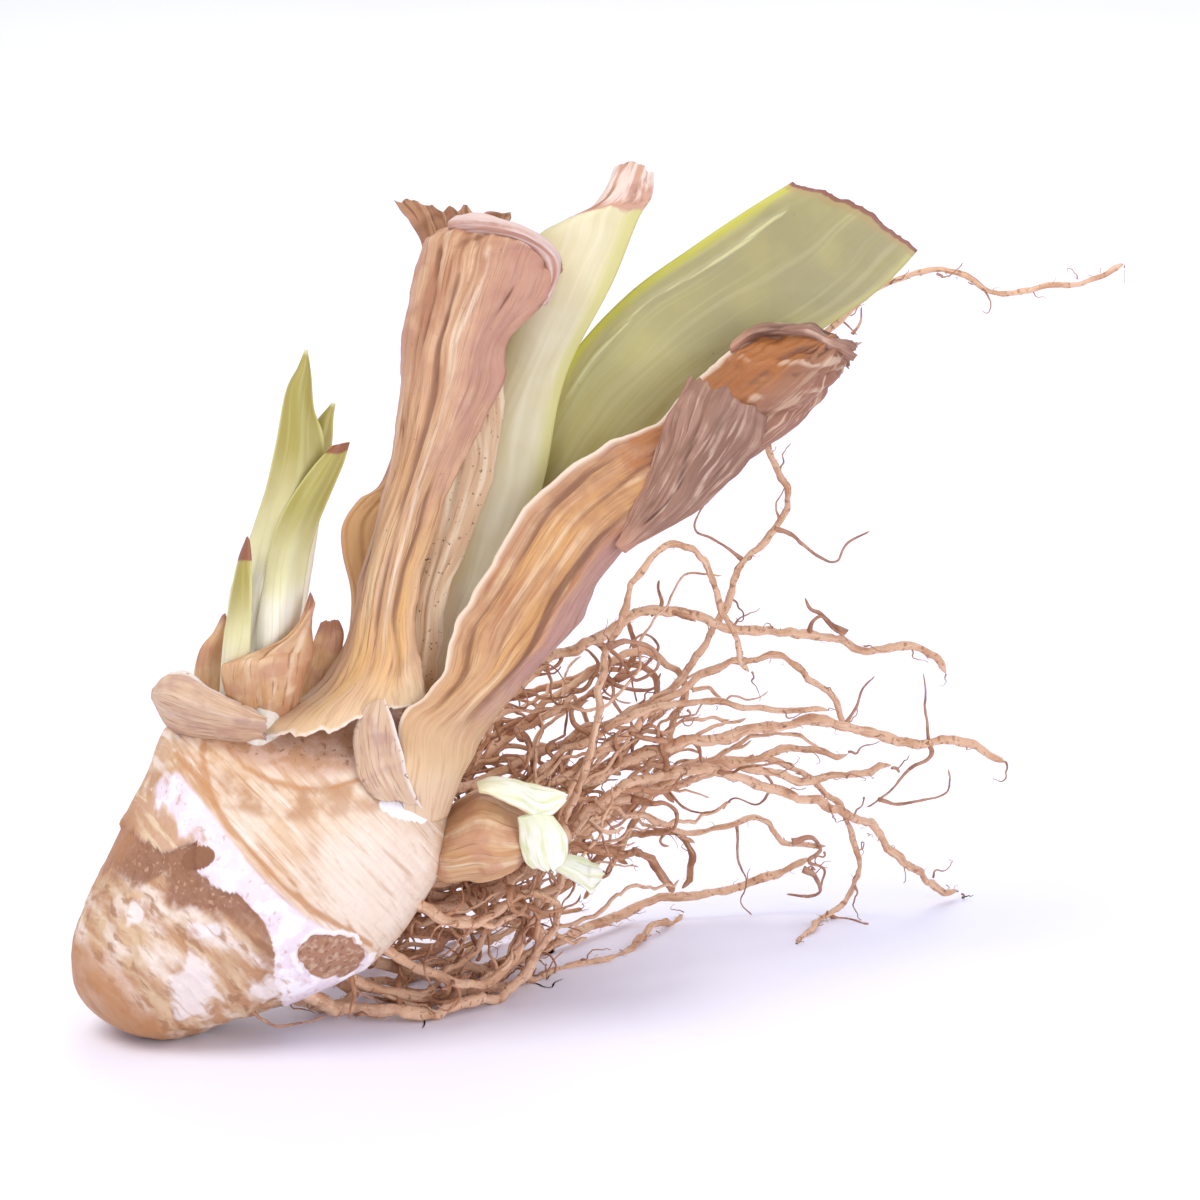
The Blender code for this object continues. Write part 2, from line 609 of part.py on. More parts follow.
def root_route(thick, points):
    """The smooth route of one root, lying no lower than the floor."""
    radius = thick / 2000
    real = []
    for across, down, depth in points:
        real.append(place(across, down, floor_depth(down, radius) if depth is FLOOR else depth))
    route = even(through(real, ROUTE_STEPS), ROOT_STEP)
    route[:, 2] = np.maximum(route[:, 2], radius)
    return route


def untangle(routes, radii):
    """Moves the routes apart, mostly in depth, until no two roots touch."""
    owner = np.concatenate([np.full(len(route), i) for i, route in enumerate(routes)])
    reach = np.concatenate([np.full(len(route), radius) for route, radius in zip(routes, radii)])
    points = np.concatenate(routes)
    need = reach[:, None] + reach[None, :] + ROOT_SPACE
    other = owner[:, None] != owner[None, :]
    order = np.sign(owner[:, None] - owner[None, :])
    for _ in range(UNTANGLE_ROUNDS):
        apart = points[:, None, :] - points[None, :, :]
        distance = np.linalg.norm(apart, axis=2)
        close = other & (distance < need)
        if not close.any():
            break
        way = apart * UNTANGLE_WAY
        way[:, :, 1] += np.where(np.abs(way[:, :, 1]) < SAME_DEPTH, SAME_DEPTH * order, 0)
        way /= np.maximum(np.linalg.norm(way, axis=2, keepdims=True), 1e-9)
        push = np.where(close, need - distance, 0)[:, :, None] * way
        step = 0.5 * push.sum(axis=1) / np.maximum(1, close.sum(axis=1))[:, None]
        for i in range(len(routes)):
            mine = owner == i
            for axis in range(3):
                points[mine, axis] += np.convolve(step[mine, axis], UNTANGLE_SPREAD, "same")
        points[:, 2] = np.maximum(points[:, 2], reach)
    return [points[owner == i] for i in range(len(routes))]


def make_root(name, route, radius, surface):
    """A tapering tube along a route."""
    path = even(route, ROOT_SEGMENT)
    curve = bpy.data.curves.new(name, "CURVE")
    curve.dimensions = "3D"
    curve.bevel_depth = radius
    curve.bevel_resolution = ROOT_SIDES // 2 - 2
    curve.use_fill_caps = True
    spline = curve.splines.new("POLY")
    spline.points.add(len(path) - 1)
    for i, (point, where) in enumerate(zip(spline.points, path)):
        point.co = (*where, 1)
        point.radius = 1 - (1 - ROOT_TIP) * i / (len(path) - 1)
    tube = bpy.data.objects.new(name + "_route", curve)
    bpy.context.scene.collection.objects.link(tube)
    graph = bpy.context.evaluated_depsgraph_get()
    mesh = bpy.data.meshes.new_from_object(tube.evaluated_get(graph))
    bpy.data.objects.remove(tube)
    shape = bmesh.new()
    shape.from_mesh(mesh)
    bmesh.ops.remove_doubles(shape, verts=shape.verts, dist=MERGE)
    bmesh.ops.recalc_face_normals(shape, faces=shape.faces)
    shape.to_mesh(mesh)
    shape.free()
    mesh.shade_smooth()
    mesh.materials.clear()
    mesh.materials.append(surface)
    mesh.name = name
    root = bpy.data.objects.new(name, mesh)
    bpy.context.scene.collection.objects.link(root)
    return root


def make_bud(surface):
    rings = []
    for across, down, half_high, half_deep, depth in BUD_STATIONS:
        centre = place(across, down, depth)
        rim = place(across + half_high * BUD_TILT, down - half_high, depth)
        ring = []
        for i in range(BUD_AROUND):
            turn = 2 * math.pi * i / BUD_AROUND
            point = centre + (rim - centre) * math.cos(turn)
            point[1] += half_deep / 1000 * math.sin(turn)
            ring.append(point)
        rings.append(np.array(ring))
    return loft("bud_sheath", rings, surface)


def clear_scene():
    for shape in list(bpy.data.objects):
        bpy.data.objects.remove(shape)


def main():
    clear_scene()
    skin = material("rhizome_skin", (226, 200, 172), 0.75)
    dry = material("dry_leaf", (196, 154, 116), 0.8)
    green = material("green_leaf", (186, 184, 124), 0.5)
    fresh = material("fresh_shoot", (190, 194, 116), 0.45)
    husk = material("brown_sheath", (190, 146, 100), 0.75)
    pale = material("pale_bud_leaf", (232, 232, 200), 0.5)
    bark = material("root_bark", (176, 132, 100), 0.85)

    body = make_rhizome(skin)
    fan = [
        sheet("left_dry_leaf", LEFT_DRY_LEAF, DRY_LEAF_THICK, dry, lean=LEAN_BACK),
        sheet("back_dry_leaf", BACK_DRY_LEAF, DRY_LEAF_THICK, dry, lean=LEAN_BACK),
        sheet("spotted_dry_leaf", SPOTTED_DRY_LEAF, DRY_LEAF_THICK, dry, lean=LEAN_BACK),
        sheet("green_middle_leaf", GREEN_MIDDLE_LEAF, GREEN_LEAF_THICK, green, lean=LEAN_BACK),
        sheet("green_right_leaf", GREEN_RIGHT_LEAF, GREEN_LEAF_THICK, green, lean=LEAN_BACK),
        sheet("right_dry_leaf", RIGHT_DRY_LEAF, DRY_LEAF_THICK, dry, lean=LEAN_BACK),
    ]
    papery = [
        sheet("torn_sheath", TORN_SHEATH, SHEATH_THICK, dry),
        sheet("curled_front_sheath", CURLED_SHEATH, SHEATH_THICK, dry, steps=2),
    ]
    shoot = [
        sheet("shoot_tall_leaf", SHOOT_TALL_LEAF, SHOOT_LEAF_THICK, fresh),
        sheet("shoot_second_leaf", SHOOT_SECOND_LEAF, SHOOT_LEAF_THICK, fresh),
        sheet("shoot_right_leaf", SHOOT_RIGHT_LEAF, SHOOT_LEAF_THICK, fresh),
        sheet("shoot_left_sheath", SHOOT_LEFT_SHEATH, SHEATH_THICK, fresh),
        sheet("shoot_brown_sheath", SHOOT_BROWN_SHEATH, SHEATH_THICK, husk),
        sheet("shoot_back_sheath_left", SHOOT_BACK_SHEATH_LEFT, SHEATH_THICK, husk),
        sheet("shoot_back_sheath_right", SHOOT_BACK_SHEATH_RIGHT, SHEATH_THICK, husk),
    ]
    cut_leaves = [
        sheet("bud_upper_leaf", BUD_UPPER_LEAF, BUD_LEAF_THICK, pale),
        sheet("bud_lower_leaf", BUD_LOWER_LEAF, BUD_LEAF_THICK, pale),
        sheet("bud_curl", BUD_CURL, SHEATH_THICK, pale),
    ]
    bud = make_bud(husk)
    for piece in fan + papery + shoot:
        cut_clear(piece, [body])
    cut_clear(bud, [body] + cut_leaves)

    radii = [thick / 2000 for thick, _ in ROOTS.values()]
    routes = untangle([root_route(thick, points) for thick, points in ROOTS.values()], radii)
    for name, route, radius in zip(ROOTS, routes, radii):
        cut_clear(make_root(name, route, radius, bark), [body])


main()
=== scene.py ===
# A bare-root bearded iris rhizome on a pale floor, seen a little from above.
# Outlines are short lists of points (across, down, depth): across and down are pixels of the
# photograph, depth is millimetres behind the middle of the body. place() makes them real.

import itertools
import json
import math

import bmesh
import bpy
import numpy as np
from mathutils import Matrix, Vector
from mathutils.bvhtree import BVHTree

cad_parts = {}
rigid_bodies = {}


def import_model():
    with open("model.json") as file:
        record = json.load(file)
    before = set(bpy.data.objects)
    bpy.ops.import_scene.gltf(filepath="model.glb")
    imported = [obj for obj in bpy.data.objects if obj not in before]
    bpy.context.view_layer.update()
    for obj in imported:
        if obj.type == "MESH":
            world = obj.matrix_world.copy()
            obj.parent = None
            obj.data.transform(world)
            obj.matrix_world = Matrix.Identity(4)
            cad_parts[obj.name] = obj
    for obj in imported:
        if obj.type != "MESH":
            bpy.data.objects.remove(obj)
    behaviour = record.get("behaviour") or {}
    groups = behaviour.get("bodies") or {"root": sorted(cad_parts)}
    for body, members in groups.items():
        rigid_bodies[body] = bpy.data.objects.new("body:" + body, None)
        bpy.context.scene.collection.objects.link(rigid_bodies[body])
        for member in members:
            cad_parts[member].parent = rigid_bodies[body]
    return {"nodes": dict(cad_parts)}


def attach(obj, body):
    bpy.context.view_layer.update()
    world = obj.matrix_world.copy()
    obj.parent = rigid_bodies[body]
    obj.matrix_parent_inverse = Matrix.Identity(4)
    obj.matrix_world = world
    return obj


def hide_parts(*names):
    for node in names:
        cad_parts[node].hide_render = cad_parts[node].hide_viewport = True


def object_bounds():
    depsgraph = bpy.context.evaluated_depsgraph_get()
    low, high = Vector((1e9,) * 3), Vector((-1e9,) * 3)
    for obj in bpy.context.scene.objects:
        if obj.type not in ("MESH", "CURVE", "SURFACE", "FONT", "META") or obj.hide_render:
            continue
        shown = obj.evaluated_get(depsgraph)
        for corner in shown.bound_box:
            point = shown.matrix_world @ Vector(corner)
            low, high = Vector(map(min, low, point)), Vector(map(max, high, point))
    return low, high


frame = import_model()
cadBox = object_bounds()
cadCorners = [np.array(corner) for corner in cadBox]

# The view: one pixel is pixelSize wide at the middle of the plant
pixelSize = 0.00038
viewAcross = 934
viewDown = 706
viewDistance = 1.08
lookDown = math.radians(14)
viewHeight = 0.0843
bodyBack = -0.027
framePixels = 600
viewBack = viewDistance * math.cos(lookDown)
viewUp = viewDistance * math.sin(lookDown)
cameraAt = (0, bodyBack - viewBack, viewHeight + viewUp)
millimetre = 0.001

# The noise is read in turned space, so that its cells never line up with a piece
noiseTurn = ((0.64, 0.48, 0.60), (-0.60, 0.80, 0.0), (-0.48, -0.36, 0.80))

# The growth axis of the body: its old end, and its directions in pixels
oldEnd = (690, 910)
growth = (0.727, -0.687)
upward = (-0.687, -0.727)


# How far back and up the view runs through a point that far down the picture.
def viewRay(down):
    up = (viewDown - down) * pixelSize
    return viewBack + up * math.sin(lookDown), up * math.cos(lookDown) - viewUp


# The real position of the point seen at a pixel, at a depth in millimetres.
def place(across, down, depth):
    across, down, depth = np.broadcast_arrays(*(np.asarray(v, float) for v in (across, down, depth)))
    right = (across - viewAcross) * pixelSize
    rayBack, rayUp = viewRay(down)
    reach = (depth / 1000 + viewBack) / rayBack
    height = viewHeight + viewUp + rayUp * reach
    return np.stack((right * reach, bodyBack + depth / 1000, height), axis=-1)


# The depth in millimetres at which the floor is seen, that far down the picture.
def floorDepth(down):
    rayBack, rayUp = viewRay(down)
    reach = -(viewHeight + viewUp) / rayUp
    return (reach * rayBack - viewBack) / millimetre


# The pixel, across and down, at which real points are seen.
def seen(points):
    ray = points - np.array(cameraAt)
    forward = ray @ np.array((0, math.cos(lookDown), -math.sin(lookDown)))
    up = ray @ np.array((0, math.sin(lookDown), math.cos(lookDown)))
    scale = viewDistance / pixelSize / forward
    return viewAcross + ray[..., 0] * scale, viewDown - up * scale


# Points on a smooth curve through the given ones, with equal steps between each two.
def through(points, steps):
    points = np.asarray(points, float)
    padded = np.concatenate([[2 * points[0] - points[1]], points, [2 * points[-1] - points[-2]]])
    t = (np.arange(steps) / steps).reshape((-1,) + (1,) * (points.ndim - 1))
    curve = []
    for before, start, end, after in zip(padded, padded[1:], padded[2:], padded[3:]):
        curve.append(
            start
            + 0.5 * t * (end - before)
            + t * t * (before - 2.5 * start + 2 * end - 0.5 * after)
            + t * t * t * 0.5 * (3 * start - before - 3 * end + after)
        )
    return np.concatenate(curve + [points[-1:]])


# The same curve with points at an even spacing, ends kept.
def even(curve, spacing):
    lengths = np.linalg.norm(np.diff(curve, axis=0), axis=1)
    along = np.concatenate([[0], np.cumsum(lengths)])
    wanted = np.linspace(0, along[-1], max(3, round(along[-1] / spacing) + 1))
    return np.stack([np.interp(wanted, along, curve[:, i]) for i in range(3)], axis=1)


# Smooth noise from about -1 to 1 that changes over about the given size in metres.
def grain(points, size, seed=0):
    scaled = points @ np.array(noiseTurn).T / size + 31.7 * (seed + 1)
    cell = np.floor(scaled)
    part = scaled - cell
    blend = part * part * part * (part * (6 * part - 15) + 10)
    total = 0
    for corner in itertools.product((0, 1), repeat=3):
        spot = (cell + corner) @ np.array((12.9898, 78.233, 37.719))
        slopes = np.stack([np.modf(np.sin(spot + k) * 43758.5453)[0] for k in (0, 2.1, 4.3)], axis=-1)
        weight = np.prod(np.where(corner, blend, 1 - blend), axis=-1)
        total = total + weight * (slopes * (part - corner)).sum(axis=-1)
    return 1.9 * total


# Noise of several sizes added together, each half as large and half as strong as the last.
def rough(points, size, octaves=3, seed=0):
    return sum(grain(points, size / 2**i, seed + i) / 2**i for i in range(octaves))


# From 0 at low to 1 at high, without a corner.
def soft(value, low, high):
    t = np.clip((value - low) / (high - low), 0, 1)
    return t * t * (3 - 2 * t)


# 1 at 0, and falling away on both sides of it.
def bell(value):
    return np.exp(-(value**2))


# How far each pixel is from a path of pixels.
def awayFrom(across, down, path):
    path = np.asarray(path, float)
    best = np.inf
    for start, end in zip(path, path[1:]):
        step = end - start
        t = ((across - start[0]) * step[0] + (down - start[1]) * step[1]) / (step @ step)
        t = np.clip(t, 0, 1)
        best = np.minimum(best, np.hypot(across - start[0] - t * step[0], down - start[1] - t * step[1]))
    return best


# A colour such as #C49A74 as linear red, green, blue and full cover.
def linear(code):
    values = [int(code[i : i + 2], 16) / 255 for i in (1, 3, 5)]
    return tuple(v / 12.92 if v <= 0.04045 else ((v + 0.055) / 1.055) ** 2.4 for v in values) + (1,)


# Adds one node, sets its properties and sockets, and links its inputs.
def addNode(tree, kind, settings=(), links=()):
    made = tree.nodes.new(kind)
    for key, value in dict(settings).items():
        if isinstance(key, str) and key in made.bl_rna.properties:
            setattr(made, key, value)
        else:
            made.inputs[key].default_value = value
    for key, source in dict(links).items():
        tree.links.new(source, made.inputs[key])
    return made


# Noise whose patches have the given real size along each of the coordinates.
def speckle(tree, sizes, coordinates, detail=3, offset=0):
    scaled = addNode(
        tree,
        "ShaderNodeMapping",
        {"Scale": tuple(1 / size for size in sizes), "Location": (offset, offset * 0.7, offset * 0.3)},
        {"Vector": coordinates},
    )
    settings = {"Scale": 1, "Detail": detail}
    return addNode(tree, "ShaderNodeTexNoise", settings, {"Vector": scaled.outputs[0]}).outputs[0]


# A mask that grows from 0 where the value is low to 1 where it is high.
def between(tree, value, low, high):
    ramp = addNode(
        tree,
        "ShaderNodeMapRange",
        {"interpolation_type": "SMOOTHSTEP", "From Min": low, "From Max": high},
        {"Value": value},
    )
    return ramp.outputs["Result"]


# A surface in layers: each layer is a colour, held in a mask of noise and of the piece's own values.
def paint(name, settings):
    made = bpy.data.materials.new(name)
    made.use_nodes = True
    tree = made.node_tree
    shader = tree.nodes["Principled BSDF"]
    position = addNode(tree, "ShaderNodeTexCoord").outputs["Object"]
    sources = {"object": position}

    def values(label):
        if label not in sources:
            read = addNode(tree, "ShaderNodeAttribute", {"attribute_name": label})
            sources[label] = read.outputs["Vector"]
        return sources[label]

    def channel(label, index):
        key = (label, index)
        if key not in sources:
            split = addNode(tree, "ShaderNodeSeparateXYZ", links={0: values(label)})
            for i in range(3):
                sources[(label, i)] = split.outputs[i]
        return sources[key]

    colour = addNode(tree, "ShaderNodeRGB")
    colour.outputs[0].default_value = linear(settings["base"])
    colour = colour.outputs[0]
    for number, layer in enumerate(settings["layers"]):
        masks = []
        if "grain" in layer:
            coordinates = values(layer.get("on", "object"))
            noise = speckle(tree, layer["grain"], coordinates, layer.get("detail", 3), 3.1 * number)
            masks.append(between(tree, noise, *layer["span"]))
        for label, index, low, high in layer["where"]:
            value = channel(label, index)
            if "ragged" in layer:
                size, amount = layer["ragged"]
                noise = speckle(tree, (size,) * 3, position, 3, 1.7 * number)
                sums = {"operation": "MULTIPLY_ADD", 1: amount}
                value = addNode(tree, "ShaderNodeMath", sums, {0: noise, 2: value}).outputs[0]
            masks.append(between(tree, value, low, high))
        mask = masks[0]
        for other in masks[1:]:
            both = addNode(tree, "ShaderNodeMath", {"operation": "MULTIPLY"}, {0: mask, 1: other})
            mask = both.outputs[0]
        strength = addNode(tree, "ShaderNodeMath", {"operation": "MULTIPLY", 1: layer["amount"]}, {0: mask})
        mixed = addNode(
            tree,
            "ShaderNodeMix",
            {"data_type": "RGBA", 7: linear(layer["colour"])},
            {0: strength.outputs[0], 6: colour},
        )
        colour = mixed.outputs[2]
    tree.links.new(colour, shader.inputs["Base Color"])

    height = None
    for number, (label, sizes, deep) in enumerate(settings["relief"]):
        noise = speckle(tree, sizes, values(label), 4, 9 + number)
        links = {0: noise}
        if height is not None:
            links[2] = height
        add = addNode(tree, "ShaderNodeMath", {"operation": "MULTIPLY_ADD", 1: deep, 2: 0.0}, links)
        height = add.outputs[0]
    bump = addNode(tree, "ShaderNodeBump", {"Strength": 1.0, "Distance": 1.0}, {"Height": height})
    tree.links.new(bump.outputs[0], shader.inputs["Normal"])

    low, high = settings["roughness"]
    wear = speckle(tree, (0.002,) * 3, position, 2, 20)
    shine = addNode(tree, "ShaderNodeMapRange", {"To Min": low, "To Max": high}, {"Value": wear})
    tree.links.new(shine.outputs[0], shader.inputs["Roughness"])
    shader.inputs["Subsurface Weight"].default_value = settings.get("glow", 0.0)
    shader.inputs["Subsurface Radius"].default_value = (0.004, 0.003, 0.002)
    shader.inputs["Subsurface Scale"].default_value = 0.5
    return made


# Links a new object to the scene.
def addObject(name, data):
    made = bpy.data.objects.new(name, data)
    bpy.context.scene.collection.objects.link(made)
    return made


# One smooth mesh piece with its own values at each point, kept in the solids' box and riding on the plant.
def makePiece(name, points, faces, surface, values, node=None):
    points = np.clip(points, *cadCorners)
    mesh = bpy.data.meshes.new(name)
    mesh.from_pydata(points.tolist(), [], faces)
    for label, value in values.items():
        data = mesh.attributes.new(label, "FLOAT_VECTOR", "POINT")
        data.data.foreach_set("vector", np.ascontiguousarray(value, np.float32).ravel())
    shape = bmesh.new()
    shape.from_mesh(mesh)
    bmesh.ops.recalc_face_normals(shape, faces=shape.faces)
    shape.to_mesh(mesh)
    shape.free()
    mesh.shade_smooth()
    mesh.materials.append(surface)
    made = addObject(name, mesh)
    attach(made, "root")
    if node:
        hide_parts(node)
    return made


# How far each pixel is from a place, across and down, as shares of its size.
def offset(across, down, at, size):
    return (across - at[0]) / size[0], (down - at[1]) / size[1]


# Vectors of length 1.
def unit(vectors, smallest=1e-9):
    return vectors / np.maximum(np.linalg.norm(vectors, axis=-1, keepdims=True), smallest)


# The direction square to a grid of points, at each point.
def normalsOf(grid, closed):
    along = np.gradient(grid, axis=0)
    if closed:
        across = np.roll(grid, -1, axis=1) - np.roll(grid, 1, axis=1)
    else:
        across = np.gradient(grid, axis=1)
    return unit(np.cross(along, across), 1e-12)


# Angles evenly round a ring.
def turnsOf(around):
    return 2 * math.pi * np.arange(around)[None, :] / around


# Rings round the centres, through their rims and as deep as given in millimetres.
def loft(centre, rim, halfDeep, turn):
    grid = centre + (rim - centre) * np.cos(turn)[..., None]
    grid[..., 1] += halfDeep / 1000 * np.sin(turn)
    return grid


# The values of a tube's points, with those of its first and last point again for the ends.
def ended(values):
    return np.concatenate([values[:1], values, values[-1:]])


# The points of a tube's grid, with the middle of each end before and after them.
def capped(grid):
    return np.concatenate([grid[0].mean(axis=0)[None], grid.reshape(-1, 3), grid[-1].mean(axis=0)[None]])


# The faces of a closed tube of rows of points, with a point before and after them.
def tubeFaces(rows, around, start=0):
    faces = []
    last = start + 1 + rows * around
    for i in range(around):
        after = (i + 1) % around
        faces.append((start, start + 1 + after, start + 1 + i))
        for row in range(rows - 1):
            near = start + 1 + row * around
            far = near + around
            faces.append((near + i, near + after, far + after, far + i))
        faces.append((last, last - around + i, last - around + after))
    return faces


# The body: a loft over stations along the growth axis, each with its distance, its middle and half
# width across the axis in pixels, and its half depth and middle depth in millimetres. Places and sizes of
# the marks are pixels; an edge is where it runs, at these distances across.
body = {
    "stations": [
        (-7, 12, 0.5, 0.3, -5),
        (-5, 11, 12, 6, -5),
        (0, 8, 23, 11, -5),
        (10, 6, 34.5, 15.5, -5),
        (26, 4.5, 43.5, 19, -4),
        (45, 4, 51.5, 21.5, -4),
        (68, 3, 61.5, 23.5, -3),
        (92, 2.5, 70, 25, -2),
        (114, 5, 78, 25.5, -1),
        (134, 3, 75, 24.5, 0),
        (155, -3, 64, 22, 1),
        (176, -9, 51, 19.5, 2),
        (192, -6, 39, 17, 3),
        (205, -4, 28, 14, 4),
        (214, -3, 15, 9, 4),
        (218, -3, 0.5, 0.3, 4),
    ],
    "steps": 14,
    "around": 400,
    "peelAcross": (-78, -60, -48, -40, -32, -22, -12, -2, 2, 9, 14, 20, 26, 31, 35, 38, 45, 52, 66, 78),
    "peelAlong": (60, 62, 68, 74, 80, 84, 85, 86, 81, 78, 78, 79, 82, 88, 80, 73, 70, 69, 66, 64),
    "skinThick": 0.5,
    "crease": [
        (722, 782), (736, 800), (748, 819), (762, 834), (774, 848), (790, 861), (807, 871), (820, 879),
    ],
    "fold": [(738, 768), (735, 781), (737, 796), (742, 808)],
    "collarLine": [(748, 780), (756, 789), (769, 796), (784, 800), (798, 800), (816, 795)],
    "rings": (108, 121, 133, 146, 158, 171),
    "scarAt": (800, 884),
    "scarSize": (16.5, 12.5),
    "curlAt": (733, 835),
    "curlSize": (9.5, 6.5),
    "whiteAt": [(730, 903, 12, 17), (770, 901, 12, 6), (703, 862, 6, 9), (738, 872, 12, 5)],
    "flakeAt": (836, 812, 14, 5),
    "stripEdge": ((-65, -33, 6, 48, 71), (114, 104, 102, 107, 109)),
    "collarEdge": ((700, 760, 790, 830), (762, 790, 797, 792)),
    "looseEdge": ((745, 765, 790, 840), (800, 806, 808, 800)),
    "leftward": (716, 770),
    "upward": (-842, -806),
    # Where a painted highlight sits on the front of the body, and its size
    "lightAt": (820, 846),
    "highlightSize": (34, 30),
}


def makeBody(surface):
    stations = through(body["stations"], body["steps"])
    along, middle, halfWide, halfDeep, depth = (stations[:, i : i + 1] for i in range(5))
    halfWide = np.maximum(halfWide, 0.4)
    halfDeep = np.maximum(halfDeep, 0.2)
    turn = turnsOf(body["around"])
    centreAcross = oldEnd[0] + along * growth[0] + middle * upward[0]
    centreDown = oldEnd[1] + along * growth[1] + middle * upward[1]
    centre = place(centreAcross, centreDown, depth)
    rim = place(centreAcross + halfWide * upward[0], centreDown + halfWide * upward[1], depth)
    grid = loft(centre, rim, halfDeep, turn)
    behind = soft(np.sin(turn), -0.05, 0.5) + 0 * along

    mirrored = grid.copy()
    mirrored[..., 1] = centre[..., 1] - np.abs(grid[..., 1] - centre[..., 1])
    shift = rough(grid, 0.02, 2, 5) * 9 * behind
    across, down = seen(mirrored)
    right = across - oldEnd[0]
    under = down - oldEnd[1]
    s = right * growth[0] + under * growth[1] + shift
    w = right * upward[0] + under * upward[1] + 0.5 * shift
    front = 1 - behind

    edge = np.interp(w, body["peelAcross"], body["peelAlong"])
    edge = edge + 1.6 * rough(grid, 0.003, 3, 1) + behind * 4 * grain(grid, 0.012, 2)
    below = s - edge
    skin = soft(below, -0.8, 0.8)
    awayCrease = awayFrom(across, down, body["crease"])
    awayFold = awayFrom(across, down, body["fold"])
    awayLine = awayFrom(across, down, body["collarLine"])
    wander = 1 + 0.5 * rough(grid, 0.006, 2, 61)
    creased = bell(awayCrease / (1.7 * wander)) * front
    second = bell((awayCrease - 4.5) / 1.2)
    creased += 0.6 * second * front * soft(rough(grid, 0.008, 2, 62), -0.3, 0.4)
    folded = bell(awayFold / (1.8 * wander)) * front
    lined = bell(awayLine / (1.8 * wander)) * front
    ringed = 0
    for at in body["rings"]:
        bent = s + 0.0022 * w**2 - 4 * grain(grid, 0.015, 7)
        ringed = ringed + bell((bent - at) / 1.1) * soft(rough(grid, 0.010, 2, at), -0.2, 0.7)

    scarX, scarY = offset(across, down, body["scarAt"], body["scarSize"])
    scarAway = np.hypot(scarX, scarY) + 0.22 * rough(grid, 0.005, 3, 11)
    scar = (1 - soft(scarAway, 0.80, 1.0)) * front
    scarRim = bell((scarAway - 1.08) / 0.10)
    scarRim = scarRim * front * soft(-scarY + 0.75 * np.abs(scarX), -0.3, 0.3)
    scarRim *= soft(rough(grid, 0.004, 3, 12), -0.8, -0.2)
    curlX, curlY = offset(across, down, body["curlAt"], body["curlSize"])
    curl = (1 - soft(np.hypot(curlX, curlY + 0.25 * curlX), 0.8, 1.05)) * front
    white = 0
    for x, y, wide, high in body["whiteAt"]:
        away = np.hypot((across - x) / wide, (down - y) / high) + 0.55 * rough(grid, 0.004, 4, 3)
        white = np.maximum(white, (1 - soft(away, 0.45, 1.15)) * front)
    x, y, wide, high = body["flakeAt"]
    flakeAway = np.hypot((across - x) / wide, (down - y - 0.3 * (across - x)) / high)
    flakeAway = flakeAway + 0.2 * rough(grid, 0.003, 3, 63)
    flake = (1 - soft(flakeAway, 0.75, 1.0)) * front
    bandWide = 8 + 13 * soft(w, -5, 30) + 6 * rough(grid, 0.006, 4, 4)
    band = soft(below, -bandWide - 9, -bandWide + 5) * (1 - skin) * (0.45 + 0.55 * soft(w, -40, 0))
    awayCreaseSide = s - np.interp(w, *body["stripEdge"])
    stripTop = w + 4 * rough(grid, 0.004, 2, 65)
    strip = skin * (1 - soft(awayCreaseSide, -7, 1)) * (1 - 0.7 * behind) * (1 - soft(stripTop, 58, 70))

    ends = soft(s, -8, 16) * (1 - soft(s, 196, 218))
    peeled = (1 - skin) * ends
    fibres = rough(np.stack([s * pixelSize * 0.35, w * pixelSize, grid[..., 1]], axis=-1), 0.0026, 3, 21)
    raised = body["skinThick"] * skin
    lip = 0.30 * bell((below - 1.2) / 1.1)
    raised += lip * (1 - scar) * soft(rough(grid, 0.006, 2, 13), -0.5, 0.4)
    raised += skin * (0.10 * fibres * ends + 0.22 * rough(grid, 0.012, 2, 23))
    raised += -0.30 * creased * skin - 0.30 * folded - 0.20 * lined - 0.17 * ringed * skin * ends
    raised += peeled * (0.34 * rough(grid, 0.0042, 4, 31) + 0.20 * fibres) * (1 - 0.8 * band)
    raised += 0.35 * curl + 0.45 * scarRim - 0.9 * scar + 0.18 * scar * rough(grid, 0.0024, 3, 41)
    raised += 0.20 * white * peeled
    raised -= body["skinThick"]
    raised *= np.minimum(1, halfWide / 20)
    normal = normalsOf(grid, True)
    outward = np.sign(((grid - centre) * normal).sum(axis=2, keepdims=True))
    outward[outward == 0] = 1
    normal *= outward
    grid = grid + normal * raised[..., None] * millimetre
    grid[..., 2] = np.maximum(grid[..., 2], 0)

    # Painted shade on the skin just below the collar of old leaf bases, with brown spots painted in it too
    collarShadeAndSpots = (1 - soft(down - np.interp(across, *body["collarEdge"]), -14, 6)) * skin
    leftward = 1 - soft(across, *body["leftward"])
    high = soft(-down, *body["upward"])
    loose = 1 - soft(np.abs(down - np.interp(across, *body["looseEdge"])), 4, 16)
    # A painted highlight on the right middle of the body's front, held in the third channel of tone
    highlightX, highlightY = offset(across, down, body["lightAt"], body["highlightSize"])
    light = np.exp(-(highlightX**2) - highlightY**2) * front
    rimTone = 1 - soft(np.minimum(s + 4, 200), 4, 26)
    leftEdge = soft(w, 40, 66) * (1 - soft(s, 60, 90))
    shoulder = soft(w, 18, 30) * (1 - soft(s + 5 * rough(grid, 0.004, 3, 64), 84, 91)) * skin
    values = {
        "fibre": (w * pixelSize, s * pixelSize, grid[..., 1]),
        "skin": (skin, strip, np.clip(creased + 0.8 * folded + 0.8 * lined + 0.5 * ringed * ends, 0, 1)),
        "bare": (band, white, np.maximum(rimTone, leftEdge)),
        "scar": (scar, scarRim, curl),
        # tone: painted shade and brown spots below the collar, the upper left, and a painted highlight
        "tone": (collarShadeAndSpots, leftward * high, light),
        "mark": (flake, loose * front, shoulder),
    }
    for label, parts in values.items():
        flat = np.stack([np.broadcast_to(part, across.shape).ravel() for part in parts], axis=1)
        values[label] = ended(flat)
    faces = tubeFaces(len(stations), body["around"])
    return makePiece("rhizomeBody", capped(grid), faces, surface, values, "rhizome")


